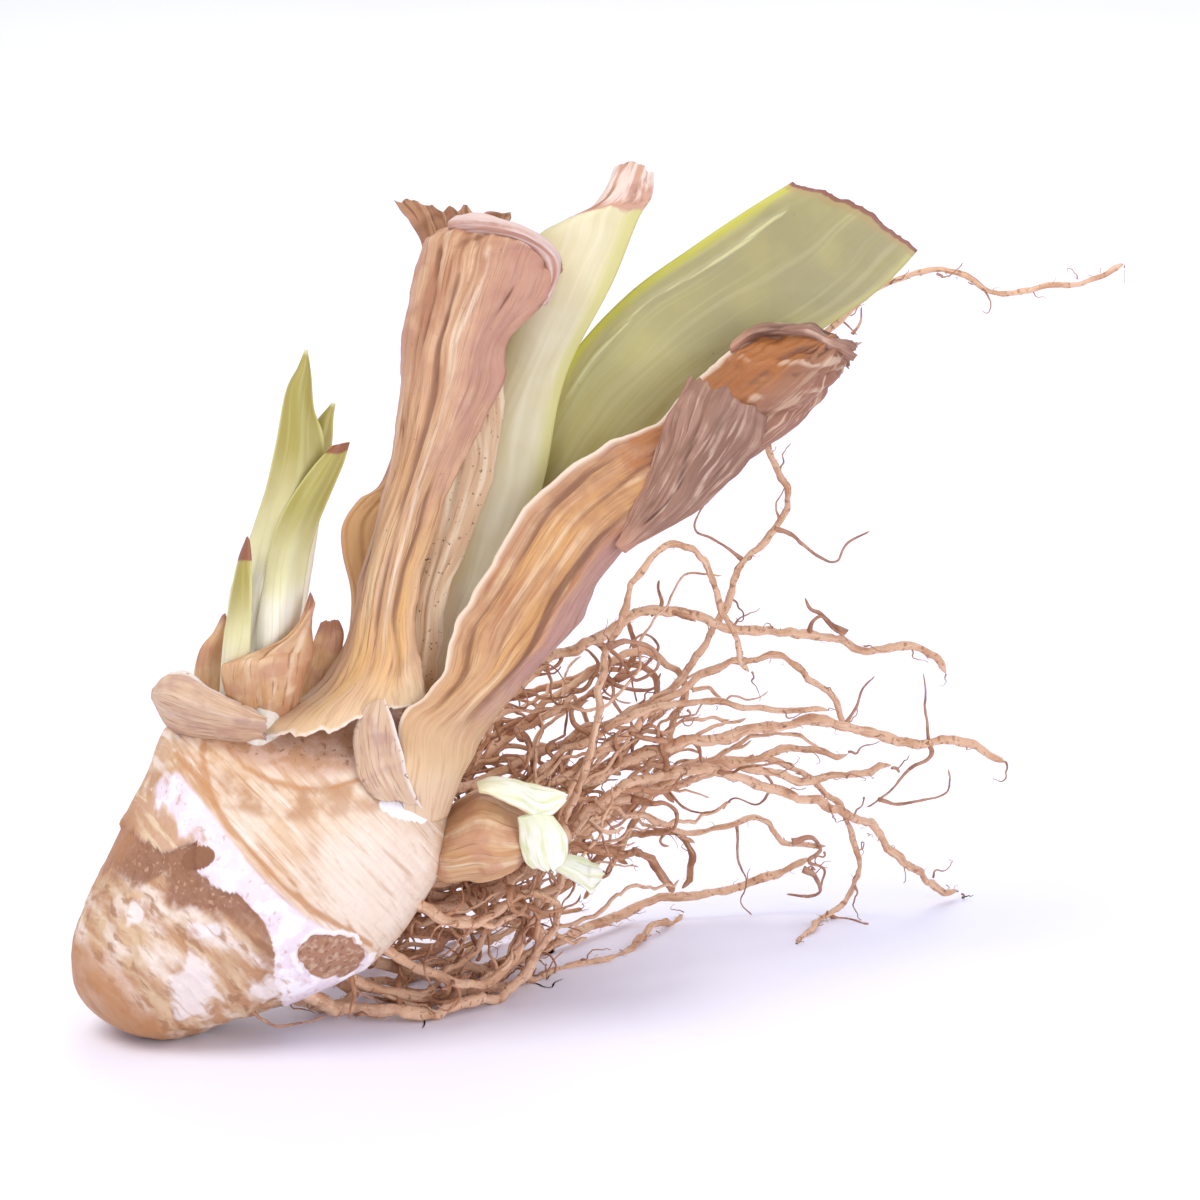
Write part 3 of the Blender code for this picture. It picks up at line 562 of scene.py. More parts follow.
# What all leaves and sheaths share. Sizes are metres, and shares run from 0 to 1 over the leaf.
leafForm = {
    "ribSize": 0.0011,
    "ribStretch": 14,
    "wrinkleSize": 0.0075,
    "wrinkleStretch": 2.2,
    "crumpleSize": 0.004,
    "raggedSize": 0.0016,
    "frayedSize": 0.0012,
    "tornSize": 0.0018,
    "swaySize": 0.006,
    "leftCurlTo": 0.16,
    "rightCurlFrom": 0.84,
    "raggedFrom": 0.90,
    "tornTo": 0.10,
    "lowest": 0.0002,
    "veinDrift": 0.0009,
}


# Thin creases at chance places, in the form of a leaf's folds.
def randomCreases(leaf):
    chance = np.random.default_rng(leaf.get("seed", 1))
    found = []
    for _ in range(leaf.get("creases", 0)):
        startU, startV = chance.uniform(0.04, 0.96), chance.uniform(0.12, 0.8)
        endU = startU + chance.normal(0, 0.05)
        endV = startV + chance.uniform(0.15, 0.45)
        found.append((startU, startV, endU, endV, chance.uniform(0.2, 0.5), chance.uniform(-0.5, 0.1)))
    return found


# A thin leaf or sheath over rows of points from its base to its end, left edge to right edge.
# thick, ribs, wrinkle, ragged and curl are millimetres; a fold is where it starts and ends across
# and along the leaf, from 0 to 1, then its width in millimetres and its height.
def makeLeaf(name, leaf, surface):
    lean = leaf.get("lean", 0.0)
    rows = np.array([[(a, d, y + lean * (crownDown - d)) for a, d, y in row] for row in leaf["rows"]])
    alongSteps, acrossSteps = leaf["steps"]
    grid = place(rows[..., 0], rows[..., 1], rows[..., 2])
    grid = through(grid, alongSteps)
    grid = np.swapaxes(through(np.swapaxes(grid, 0, 1), acrossSteps), 0, 1)
    count, wide = grid.shape[:2]
    u = np.linspace(0, 1, wide)[None, :] + np.zeros((count, 1))
    v = np.linspace(0, 1, count)[:, None] + np.zeros((1, wide))
    stepAcross = np.linalg.norm(np.diff(grid, axis=1), axis=2)
    stepAlong = np.linalg.norm(np.diff(grid, axis=0), axis=2)
    sideways = np.concatenate([np.zeros((count, 1)), np.cumsum(stepAcross, axis=1)], axis=1)
    lengthways = np.concatenate([np.zeros((1, wide)), np.cumsum(stepAlong, axis=0)], axis=0)
    middleLength = lengthways[:, wide // 2 : wide // 2 + 1] + 0 * u
    seed = leaf.get("seed", 1)
    wideMean = sideways[:, -1].mean()
    cross = np.stack([u * wideMean, middleLength, 0 * u + seed], axis=-1)
    alongWay = unit(np.gradient(grid, axis=0))
    acrossWay = unit(np.gradient(grid, axis=1))
    normal = unit(np.cross(alongWay, acrossWay))
    if normal[count // 2, wide // 2, 1] > 0:
        normal = -normal

    stretched = cross / np.array((1, leafForm["ribStretch"], 1))
    lift = leaf.get("ribs", 0) * rough(stretched, leafForm["ribSize"], 2, seed)
    stretched = cross / np.array((1, leafForm["wrinkleStretch"], 1))
    lift = lift + leaf.get("wrinkle", 0) * rough(stretched, leafForm["wrinkleSize"], 4, seed + 3)
    calm = leaf.get("calmBase", 0.0)
    lift = lift * soft(v, calm - 0.01, calm + 0.12)
    if "crumple" in leaf:
        crumpled = soft(v, leaf["crumpleFrom"], 1.0)
        lift = lift + leaf["crumple"] * rough(cross, leafForm["crumpleSize"], 3, seed + 9) * crumpled
    for startU, startV, endU, endV, width, high in [*leaf.get("folds", ()), *randomCreases(leaf)]:
        t = np.clip((v - startV) / (endV - startV), 0, 1)
        middle = startU + (endU - startU) * t + 0.03 * grain(cross, 0.012, seed + 5)
        away = (u - middle) * sideways[:, -1:] / (width * millimetre)
        fade = soft(v, startV - 0.02, startV + 0.08) * (1 - soft(v, endV - 0.08, endV + 0.02))
        lift = lift + high * bell(away) * fade
    fine = lift
    leftCurl, rightCurl = leaf.get("curl", (0, 0))
    lift = lift + leftCurl * (1 - soft(u, 0, leafForm["leftCurlTo"]))
    lift = lift + rightCurl * soft(u, leafForm["rightCurlFrom"], 1)
    grid = grid + normal * lift[..., None] * millimetre
    sideOnly = cross * np.array((1, 0, 0))
    ragged = leaf.get("ragged", 0) * rough(sideOnly + seed * 0.01, leafForm["raggedSize"], 3, seed + 4)
    tattered = leaf.get("frayed", 0) * np.abs(grain(sideOnly, leafForm["frayedSize"], seed + 6))
    if leaf.get("raggedBase"):
        torn = leaf["raggedBase"] * rough(sideOnly, leafForm["tornSize"], 3, seed + 8)
        grid = grid + alongWay * (torn * (1 - soft(v, 0, leafForm["tornTo"])))[..., None] * millimetre
    atTip = soft(v, leafForm["raggedFrom"], 1.0)
    grid = grid + alongWay * ((ragged - tattered) * atTip)[..., None] * millimetre
    lengthOnly = cross * np.array((0, 1, 0))
    sway = leaf.get("sway", 0) * rough(lengthOnly + seed * 0.01, leafForm["swaySize"], 3, seed + 2)
    grid = grid + acrossWay * sway[..., None] * millimetre * (np.abs(u - 0.5) * 2)[..., None] ** 3

    half = 0.5 * leaf["thick"] * millimetre * (1 - 0.6 * (2 * u - 1) ** 6) * (1 - 0.5 * v**12)
    front = grid + normal * half[..., None]
    back = grid - normal * half[..., None]
    points = np.concatenate([front.reshape(-1, 3), back.reshape(-1, 3)])
    points[:, 2] = np.maximum(points[:, 2], leafForm["lowest"])
    shift = count * wide
    faces = []
    for i in range(count - 1):
        for j in range(wide - 1):
            a = i * wide + j
            faces.append((a, a + 1, a + wide + 1, a + wide))
            faces.append((shift + a, shift + a + wide, shift + a + wide + 1, shift + a + 1))
    border = list(range(wide))
    border += [i * wide + wide - 1 for i in range(1, count)]
    border += [(count - 1) * wide + j for j in range(wide - 2, -1, -1)]
    border += [i * wide for i in range(count - 2, 0, -1)]
    for i, a in enumerate(border):
        b = border[(i + 1) % len(border)]
        faces.append((a, shift + a, shift + b, b))
    drift = leafForm["veinDrift"] * rough(cross / np.array((1, 2.5, 1)), 0.007, 2, seed + 12)
    fibre = np.stack([u * wideMean + drift, middleLength, 0 * u + 0.01 * seed], axis=-1).reshape(-1, 3)
    edge = np.minimum(u, 1 - u) * sideways[:, -1:] * 1000
    part = np.stack([u, v, edge], axis=-1).reshape(-1, 3)
    # How deep each hollow is and how high each raised fold stands; the surfaces paint shade into the
    # hollows and highlights onto the folds from them
    hollow = np.stack([np.clip(-fine, 0, 1), np.clip(fine, 0, 1), 0 * u], axis=-1).reshape(-1, 3)
    values = {"fibre": fibre, "part": part, "hollow": hollow}
    values = {label: np.concatenate([value, value]) for label, value in values.items()}
    node = "".join("_" + letter.lower() if letter.isupper() else letter for letter in name)
    if node not in frame["nodes"]:
        node = None
    return makePiece(name, points, faces, surface, values, node)


# The leaves and sheaths: lean moves a row back by this share of its height above crownDown, which is a
# pixel, and rows are points from the left edge to the right one.
crownDown = 765
leaves = {
    "leftDryLeaf": {
        "surface": "leftLeaf", "slot": "dry_leaf", "lean": 0.06, "thick": 0.45, "steps": (11, 14),
        "seed": 1, "ribs": 0.03, "wrinkle": 0.26, "calmBase": 0.12, "ragged": 0.9, "sway": 0.5,
        "curl": (-1.4, 0.6), "crumple": 1.0, "crumpleFrom": 0.75, "raggedBase": 1.1, "creases": 46,
        "folds": [
            (0.52, 0.3, 0.4, 0.86, 1.1, -0.9), (0.66, 0.34, 0.58, 0.98, 0.8, 0.7),
            (0.3, 0.5, 0.22, 0.99, 0.7, -0.6), (0.8, 0.12, 0.8, 0.62, 0.9, -0.7),
        ],
        "rows": [
            [(756, 770, -10), (777, 774, -15), (801, 771, -17), (826, 761, -16), (848, 758, -12)],
            [(770, 761, -9), (786, 763, -13), (807, 759, -15), (828, 753, -15), (846, 749, -11)],
            [(787, 749, -7), (800, 751, -11), (815, 748, -13), (830, 744, -13), (844, 741, -10)],
            [(799, 735, -5), (809, 737, -9), (820, 735, -11), (832, 732, -12), (842, 729, -9)],
            [(806, 718, -3), (814, 717, -8), (822, 716, -10), (831, 714, -10), (841, 712, -8)],
            [(812, 690, -1), (819, 689, -6), (827, 688, -9), (836, 687, -9), (846, 686, -6)],
            [(824, 646, 1), (832, 646, -5), (840, 646, -8), (849, 646, -8), (860, 646, -5)],
            [(830, 605, 3), (841, 605, -3), (853, 604, -6), (867, 603, -7), (883, 600, -4)],
            [(832, 578, 4), (845, 577, -2), (858, 576, -5), (873, 576, -6), (888, 577, -4)],
            [(838, 543, 5), (851, 543, -1), (868, 544, -4), (888, 548, -5), (909, 553, -4)],
            [(845, 524, 5), (856, 525, 0), (872, 527, -3), (892, 531, -4), (915, 542, -3)],
            [(856, 519, 5), (866, 517, 1), (878, 517, -1), (894, 522, -2), (912, 536, -2)],
        ],
    },
    "backDryLeaf": {
        "surface": "darkLeaf", "slot": "dry_leaf", "lean": 0.06, "thick": 0.4, "steps": (11, 18), "seed": 2,
        "ribs": 0.06, "wrinkle": 0.26, "calmBase": 0.1, "frayed": 2.4, "ragged": 0.9, "curl": (-0.8, 0.5),
        "crumple": 1.2, "crumpleFrom": 0.8, "creases": 14,
        "rows": [
            [(800, 775, 6), (815, 776, 5), (832, 775, 5)],
            [(806, 735, 5), (816, 735, 4), (828, 735, 4)],
            [(809, 705, 6), (818, 705, 5), (832, 705, 5)],
            [(804, 683, 7), (815, 682, 5), (835, 682, 5)],
            [(804, 668, 8), (815, 667, 6), (836, 667, 6)],
            [(813, 655, 8), (824, 655, 7), (840, 655, 7)],
            [(825, 646, 8), (835, 646, 8), (850, 646, 8)],
            [(836, 610, 9), (848, 610, 9), (866, 610, 8)],
            [(842, 560, 10), (856, 560, 9), (880, 558, 9)],
            [(845, 532, 11), (861, 530, 10), (886, 528, 10)],
            [(839, 517, 11), (860, 517, 12), (888, 519, 11)],
            [(831, 506, 12), (857, 508, 13), (891, 514, 12)],
        ],
    },
    "spottedDryLeaf": {
        "surface": "spottedLeaf", "slot": "dry_leaf", "lean": 0.06, "thick": 0.4, "steps": (12, 12),
        "seed": 3, "ribs": 0.12, "wrinkle": 0.25, "sway": 0.4, "creases": 8,
        "folds": [(0.35, 0.1, 0.4, 0.95, 0.5, -0.5)],
        "rows": [
            [(835, 768, -6), (841, 769, -7), (851, 768, -5)],
            [(836, 747, -7), (843, 748, -8), (853, 747, -6)],
            [(838, 728, -5), (847, 728, -6), (855, 728, -4)],
            [(838, 707, -3), (849, 706, -4), (858, 702, -2)],
            [(845, 682, -1), (856, 682, -2), (867, 681, 0)],
            [(850, 646, 0), (865, 646, -1), (880, 646, 1)],
            [(858, 615, 1), (871, 615, 0), (885, 615, 2)],
            [(868, 590, 2), (877, 590, 1), (886, 592, 2)],
        ],
    },
    "greenMiddleLeaf": {
        "surface": "greyLeaf", "slot": "green_leaf", "lean": 0.06, "thick": 0.9, "steps": (11, 18),
        "seed": 4, "ribs": 0.03, "wrinkle": 0.12, "crumple": 0.7, "crumpleFrom": 0.8, "ragged": 0.6,
        "folds": [(0.5, 0.0, 0.62, 0.75, 2.0, -0.3)],
        "rows": [
            [(846, 770, 0), (851, 771, -1), (856, 770, 0)],
            [(848, 750, -1), (853, 750, -2), (858, 750, -1)],
            [(851, 735, 0), (857, 735, -1), (864, 735, 0)],
            [(855, 717, 2), (862, 716, 1), (870, 714, 2)],
            [(860, 690, 4), (873, 690, 2), (888, 688, 3)],
            [(866, 650, 6), (885, 650, 4), (905, 650, 5)],
            [(876, 610, 7), (894, 610, 5), (913, 608, 6)],
            [(886, 584, 7), (903, 584, 5), (921, 584, 6)],
            [(895, 550, 8), (916, 550, 6), (940, 548, 7)],
            [(903, 524, 8), (926, 518, 6), (953, 516, 7)],
            [(930, 509, 8), (944, 505, 7), (960, 504, 7)],
            [(942, 489, 8), (951, 487, 7), (961, 492, 7)],
        ],
    },
    "greenRightLeaf": {
        "surface": "greenLeaf", "slot": "green_leaf", "lean": 0.06, "thick": 1.0, "steps": (11, 24),
        "seed": 5, "ribs": 0.03, "wrinkle": 0.15, "ragged": 0.5,
        "folds": [(0.14, 0.45, 0.2, 0.93, 0.5, 0.45)],
        "rows": [
            [(851, 769, 4), (856, 771, 3), (862, 769, 4)],
            [(854, 748, 4), (859, 750, 3), (865, 748, 4)],
            [(862, 725, 5), (870, 727, 4), (880, 726, 5)],
            [(872, 690, 7), (885, 695, 6), (902, 697, 7)],
            [(888, 650, 9), (908, 655, 8), (928, 660, 8)],
            [(905, 612, 10), (930, 620, 9), (955, 630, 9)],
            [(921, 582, 11), (950, 596, 9), (980, 610, 10)],
            [(948, 553, 12), (978, 572, 10), (1008, 592, 11)],
            [(978, 531, 13), (1009, 552, 11), (1040, 574, 12)],
            [(1003, 514, 14), (1037, 534, 12), (1072, 552, 13)],
            [(1017, 505, 14), (1050, 519, 12), (1085, 540, 13)],
            [(1030, 497, 14), (1062, 508, 12), (1093, 531, 13)],
        ],
    },
    "rightDryLeaf": {
        "surface": "rightLeaf", "slot": "dry_leaf", "lean": 0.06, "thick": 0.45, "steps": (11, 14),
        "seed": 6, "ribs": 0.03, "wrinkle": 0.26, "calmBase": 0.2, "crumple": 1.3, "crumpleFrom": 0.72,
        "ragged": 1.6, "sway": 0.6, "curl": (0.35, -0.5), "raggedBase": 0, "creases": 46,
        "folds": [
            (0.62, 0.22, 0.52, 0.7, 1.3, -1.0), (0.18, 0.25, 0.12, 0.72, 0.7, -0.8),
            (0.38, 0.35, 0.32, 0.75, 0.7, -0.6),
        ],
        "rows": [
            [(836, 815, -11), (843, 817, -9), (850, 817, -7), (856, 815, -4), (860, 810, -1)],
            [(834, 796, -15.5), (843, 799, -15.5), (852, 800, -13), (861, 797, -8), (867, 794, -3)],
            [(833, 781, -16), (844, 785, -17), (855, 787, -15), (866, 786, -10), (872, 784, -4)],
            [(834, 765, -16), (846, 770, -18), (858, 773, -17), (869, 774, -12), (878, 772, -5)],
            [(846, 754, -15), (858, 757, -17), (872, 757, -16), (884, 757, -12), (893, 753, -6)],
            [(857, 738, -13), (870, 742, -15), (886, 742, -14), (899, 740, -10), (908, 735, -5)],
            [(860, 722, -11), (876, 727, -13), (895, 728, -12), (912, 725, -9), (926, 716, -3)],
            [(874, 699, -8), (892, 703, -10), (910, 704, -9), (925, 702, -6), (935, 696, -2)],
            [(899, 657, -6), (915, 666, -8), (931, 674, -8), (948, 675, -5), (961, 667, -1)],
            [(934, 630, -4), (948, 640, -6), (962, 650, -6), (978, 655, -4), (988, 651, 0)],
            [(962, 618, -3), (975, 625, -6), (988, 632, -7), (1000, 638, -5), (1010, 636, 0)],
            [(985, 594, -2), (997, 603, -6), (1010, 612, -8), (1024, 618, -5), (1036, 617, 0)],
            [(1010, 574, -1), (1022, 584, -6), (1034, 592, -7), (1046, 597, -4), (1056, 592, 1)],
            [(1038, 570, 0), (1046, 573, -3), (1052, 577, -4), (1058, 581, -2), (1062, 577, 2)],
        ],
    },
    "tornSheath": {
        "surface": "sheathSkin", "slot": "dry_leaf", "thick": 0.35, "steps": (12, 16), "seed": 7,
        "ribs": 0.1, "wrinkle": 0.25, "ragged": 0.6, "curl": (0.2, 0.2), "sway": 0.3, "creases": 6,
        "rows": [
            [(818, 758, -17), (822, 756, -17.5), (827, 755, -17)],
            [(811, 771, -15.5), (820, 769, -18), (831, 768, -18)],
            [(812, 788, -16), (823, 787, -18), (836, 785, -18)],
            [(816, 799, -17.5), (828, 799, -18.5), (840, 799, -17.5)],
            [(822, 806, -18), (833, 807, -18.5), (845, 810, -15.5)],
        ],
    },
    "curledFrontSheath": {
        "surface": "sheathSkin", "slot": "dry_leaf", "thick": 0.4, "steps": (18, 18), "seed": 8,
        "ribs": 0.1, "wrinkle": 0.3, "ragged": 0.5, "curl": (-0.3, -0.8), "sway": 0.4, "creases": 8,
        "rows": [
            [(710, 756, -8), (710, 753, -9), (711, 749, -8)],
            [(716, 768, -8), (715, 754, -14), (719, 741, -11)],
            [(726, 776, -8), (726, 757, -17), (729, 742, -13)],
            [(739, 780, -9), (741, 762, -18), (743, 750, -14)],
            [(753, 781, -10), (754, 766, -18), (757, 757, -15)],
            [(766, 779, -11), (767, 769, -17), (768, 764, -15)],
        ],
    },
    "shootTallLeaf": {
        "surface": "freshShoot", "slot": "fresh_shoot", "thick": 0.7, "steps": (10, 14), "seed": 9,
        "ribs": 0.03, "wrinkle": 0.08,
        "rows": [
            [(750, 790, -6), (762, 794, -9), (778, 788, -6)],
            [(748, 712, -8), (765, 713, -12), (785, 710, -8)],
            [(754, 690, -7), (769, 690, -11), (787, 690, -7)],
            [(760, 672, -6), (774, 672, -10), (791, 671, -6)],
            [(767, 650, -5), (779, 650, -8), (796, 648, -5)],
            [(772, 628, -4), (782, 628, -6), (796, 625, -4)],
            [(777, 602, -3), (783, 602, -4.5), (791, 611, -3)],
            [(783, 590, -2), (786, 589, -3), (789.5, 594, -2)],
            [(786.4, 581.5, -2), (787, 581, -2.2), (787.6, 581.5, -2)],
        ],
    },
    "shootSecondLeaf": {
        "surface": "freshShoot", "slot": "fresh_shoot", "thick": 0.7, "steps": (10, 10), "seed": 10,
        "ribs": 0.03, "wrinkle": 0.08,
        "rows": [
            [(762, 790, -1), (768, 792, -3), (774, 788, -1)],
            [(784, 660, -1), (790, 660, -3), (795, 658, -1)],
            [(787, 635, 0), (793, 635, -2), (799.5, 629, 0)],
            [(791, 619, 0), (796, 618, -1), (800.5, 615, 0)],
            [(799, 609, 0), (800.5, 607.5, -0.5), (801.6, 608, 0)],
        ],
    },
    "shootRightLeaf": {
        "surface": "tippedShoot", "slot": "fresh_shoot", "thick": 0.7, "steps": (10, 14), "seed": 11,
        "ribs": 0.03, "wrinkle": 0.08,
        "rows": [
            [(750, 788, -10), (761, 792, -12), (773, 786, -9)],
            [(762, 720, -13), (772, 720, -15), (784, 714, -11)],
            [(766, 697, -12), (776, 697, -14), (787, 692, -10)],
            [(771, 673, -11), (781, 674, -13), (791.5, 672, -9)],
            [(779, 656, -9), (788, 657, -11), (799, 653, -7)],
            [(790, 640, -8), (797, 642, -9), (805.5, 638, -6)],
            [(800, 629, -7), (804, 628, -8), (808.8, 627, -6)],
        ],
    },
    "shootLeftSheath": {
        "surface": "tippedSheath", "slot": "fresh_shoot", "thick": 0.5, "steps": (10, 8), "seed": 12,
        "ribs": 0.04, "wrinkle": 0.1,
        "rows": [
            [(742, 784, -4), (749, 787, -6), (758, 786, -6)],
            [(745, 735, -14), (751, 736, -16), (759, 735, -16)],
            [(748, 712, -13), (753, 712, -15), (760, 710, -15)],
            [(752.5, 688, -12), (756, 688, -14), (760, 688, -14)],
            [(757, 675, -12), (757.8, 674.3, -13), (759, 677, -13)],
        ],
    },
    "shootBrownSheath": {
        "surface": "ochreSheath", "slot": "brown_sheath", "thick": 0.4, "steps": (12, 14), "seed": 13,
        "ribs": 0.1, "wrinkle": 0.25, "ragged": 0.4, "sway": 0.3, "curl": (0.0, -0.8), "creases": 8,
        "folds": [(0.5, 0.0, 0.5, 0.9, 0.8, -0.5)],
        "rows": [
            [(754, 784, -4), (765, 787, -5), (779, 782, -4)],
            [(745, 744, -16), (762, 743, -19), (788, 742, -15)],
            [(749, 737, -16), (767, 733, -18), (791, 731, -14)],
            [(768, 731, -16), (779, 724, -17), (791.5, 719, -13)],
            [(782, 719, -15), (787, 713, -15), (793, 709, -13)],
            [(788.5, 703.5, -14), (789.5, 702.5, -14), (791.5, 705, -13)],
        ],
    },
    "shootBackSheathLeft": {
        "surface": "ochreSheath", "slot": "brown_sheath", "thick": 0.4, "steps": (10, 10), "seed": 14,
        "ribs": 0.1, "wrinkle": 0.3, "ragged": 0.5,
        "rows": [
            [(728, 788, 2), (738, 790, 1), (748, 790, 2)],
            [(732, 737, 0), (739, 738, -1), (747, 738, 0)],
            [(741, 722, 0), (744, 722, -1), (748, 724, 0)],
            [(745, 714, 0), (747, 713, -1), (749, 716, 0)],
        ],
    },
    "shootBackSheathRight": {
        "surface": "ochreSheath", "slot": "brown_sheath", "thick": 0.4, "steps": (10, 10), "seed": 15,
        "ribs": 0.1, "wrinkle": 0.3, "ragged": 0.5,
        "rows": [
            [(780, 790, 4), (790, 792, 3), (801, 788, 4)],
            [(784, 748, 1), (793, 749, 0), (804, 746, 1)],
            [(788, 736, 0), (796, 737, -1), (805, 732, 0)],
            [(791, 726, -1), (797, 727, -1), (806, 723, 0)],
            [(794, 718, -1), (799, 716, -1), (804, 717, 0)],
        ],
    },
    "budUpperLeaf": {
        "surface": "paleLeaf", "slot": "pale_bud_leaf", "thick": 0.9, "steps": (12, 14), "seed": 16,
        "ribs": 0.04, "wrinkle": 0.3, "ragged": 0.7, "sway": 0.4,
        "rows": [
            [(872.5, 797.5, -8), (873, 800, -11), (874, 802, -13)],
            [(880, 794.2, -8), (881, 799, -11.5), (883, 805.5, -14)],
            [(889, 795, -8), (891, 801, -12), (894, 810.3, -14.5)],
            [(898, 797.3, -8), (900, 805, -11), (903, 815, -12.5)],
            [(908, 800, -8), (909, 806, -10), (911, 813.5, -11)],
            [(917, 802, -8), (917.5, 804, -9), (917, 806.5, -9.5)],
        ],
    },
    "budLowerLeaf": {
        "surface": "paleLeaf", "slot": "pale_bud_leaf", "thick": 0.9, "steps": (12, 14), "seed": 17,
        "ribs": 0.04, "wrinkle": 0.3, "ragged": 0.7, "sway": 0.4,
        "rows": [
            [(893, 815, -13), (902, 813, -13), (911, 814, -11)],
            [(893.5, 821, -11), (905, 820, -12), (917, 823, -9)],
            [(894, 828, -9.5), (906, 828, -11), (918, 829, -8.5)],
            [(897, 836, -9), (906, 837, -10), (917.5, 836, -8)],
            [(901, 840, -9), (908, 841, -9.5), (914, 840, -8)],
        ],
    },
    "budCurl": {
        "surface": "paleLeaf", "slot": "pale_bud_leaf", "thick": 0.4, "steps": (12, 12), "seed": 18,
        "ribs": 0.05, "wrinkle": 0.5, "ragged": 1.2, "frayed": 1.5, "crumple": 0.8, "crumpleFrom": 0.2,
        "rows": [
            [(897, 830, -3), (898, 832, -4), (899, 834, -3)],
            [(924, 834, 1), (924, 842, -1), (925, 849, 0)],
            [(930, 837, 1), (930, 843, -1), (930, 853, 1)],
            [(935, 838, 2), (935, 843, 0), (934, 847, 1)],
        ],
    },
    "rightLeafFlap": {
        "surface": "ribbedFlap", "slot": "dry_leaf", "lean": 0.06, "thick": 0.4, "steps": (12, 18),
        "seed": 19, "ribs": 0.16, "wrinkle": 0.5, "ragged": 1.0, "sway": 0.4, "curl": (-0.6, 0.2),
        "creases": 16,
        "rows": [
            [(941, 678, -7), (943, 680, -8), (946, 682, -7)],
            [(947, 667, -7), (953, 671, -9), (961, 674, -7)],
            [(954, 650, -7), (966, 658, -10), (980, 662, -7)],
            [(961, 630, -7), (976, 641, -11), (996, 649, -7)],
            [(969, 610, -7), (986, 622, -12), (1011, 633, -7)],
            [(977, 595, -7), (995, 600, -12), (1018, 614, -7)],
        ],
    },
    "rightLeafRoll": {
        "surface": "ribbedFlap", "slot": "dry_leaf", "lean": 0.06, "thick": 0.35, "steps": (12, 14),
        "seed": 21, "ribs": 0.2, "wrinkle": 0.5, "crumple": 0.8, "crumpleFrom": 0.0, "ragged": 0.8,
        "sway": 0.5, "creases": 8,
        "rows": [
            [(1001, 586, 0), (999, 580, -3), (1002, 575, 0)],
            [(1011, 581, 0), (1010, 573, -4), (1012, 569, 0)],
            [(1023, 579, 0), (1023, 571, -5), (1024, 567, 0)],
            [(1037, 580, 0), (1038, 572, -5), (1039, 568, 0)],
            [(1049, 584, 0), (1051, 577, -4), (1052, 572, 0)],
            [(1058, 589, 0), (1061, 583, -3), (1062, 579, 0)],
        ],
    },
    "leftLeafRoll": {
        "surface": "paleFold", "slot": "dry_leaf", "lean": 0.06, "thick": 0.35, "steps": (12, 14),
        "seed": 20, "ribs": 0.12, "wrinkle": 0.4, "ragged": 0.5, "sway": 0.3,
        "rows": [
            [(860, 523, 2), (858, 518, 1), (862, 514, 3)],
            [(870, 523, -1), (868, 517, -3), (875, 513, 0)],
            [(884, 525, -3), (883, 519, -4), (887, 516, -1)],
            [(897, 529, -4), (898, 524, -5), (900, 521, -2)],
            [(907, 538, -4), (911, 534, -5), (912, 530, -2)],
            [(908, 550, -4), (913, 545, -5), (915, 540, -2)],
            [(902, 562, -3), (906, 559, -4), (909, 556, -2)],
        ],
    },
}


# The second bud: the middle of each section of its sheath, half height in pixels, half depth and
# depth in millimetres
bud = {
    "stations": [
        (848, 829, 4, 2, 1),
        (850, 829, 8, 5, 1),
        (854, 828, 16, 8, 0),
        (861, 826, 21, 10, -1),
        (872, 823, 23, 10, -2),
        (884, 825, 19, 9, -3),
        (892, 826, 15, 7, -3),
        (896, 827, 11, 5, -3),
        (898, 828, 5, 2.5, -3),
    ],
    "steps": 14,
    "around": 120,
    "tilt": 0.2,
}


def makeBud(surface):
    stations = through(bud["stations"], bud["steps"])
    across, down, halfHigh, halfDeep, depth = (stations[:, i : i + 1] for i in range(5))
    turn = turnsOf(bud["around"])
    centre = place(across, down, depth)
    rim = place(across + halfHigh * bud["tilt"], down - halfHigh, depth)
    grid = loft(centre, rim, halfDeep, turn)
    along = np.linspace(0, 1, len(stations))[:, None] + 0 * turn
    around = (0.008 * np.cos(turn) + 0 * along, 0.008 * np.sin(turn) + 0 * along)
    cross = np.stack([*around, 0.005 * along], axis=-1)
    raised = 0.34 * rough(cross, 0.0016, 3, 51) + 0.3 * rough(grid, 0.006, 2, 52) - 0.25
    raised += 0.5 * (soft(along + 0.10 * grain(cross, 0.004, 53), 0.52, 0.56) - 0.5)
    grid = grid + unit(grid - centre) * raised[..., None] * millimetre
    fibre = np.stack([turn * 0.008 + 0 * along, along * 0.018, 0 * along], axis=-1).reshape(-1, 3)
    part = np.stack([turn / (2 * math.pi) + 0 * along, along, 0 * along], axis=-1).reshape(-1, 3)
    values = {
        "fibre": ended(fibre),
        "part": ended(part),
        "hollow": ended(0 * part),
    }
    faces = tubeFaces(len(stations), bud["around"])
    return makePiece("budSheath", capped(grid), faces, surface, values, "bud_sheath")


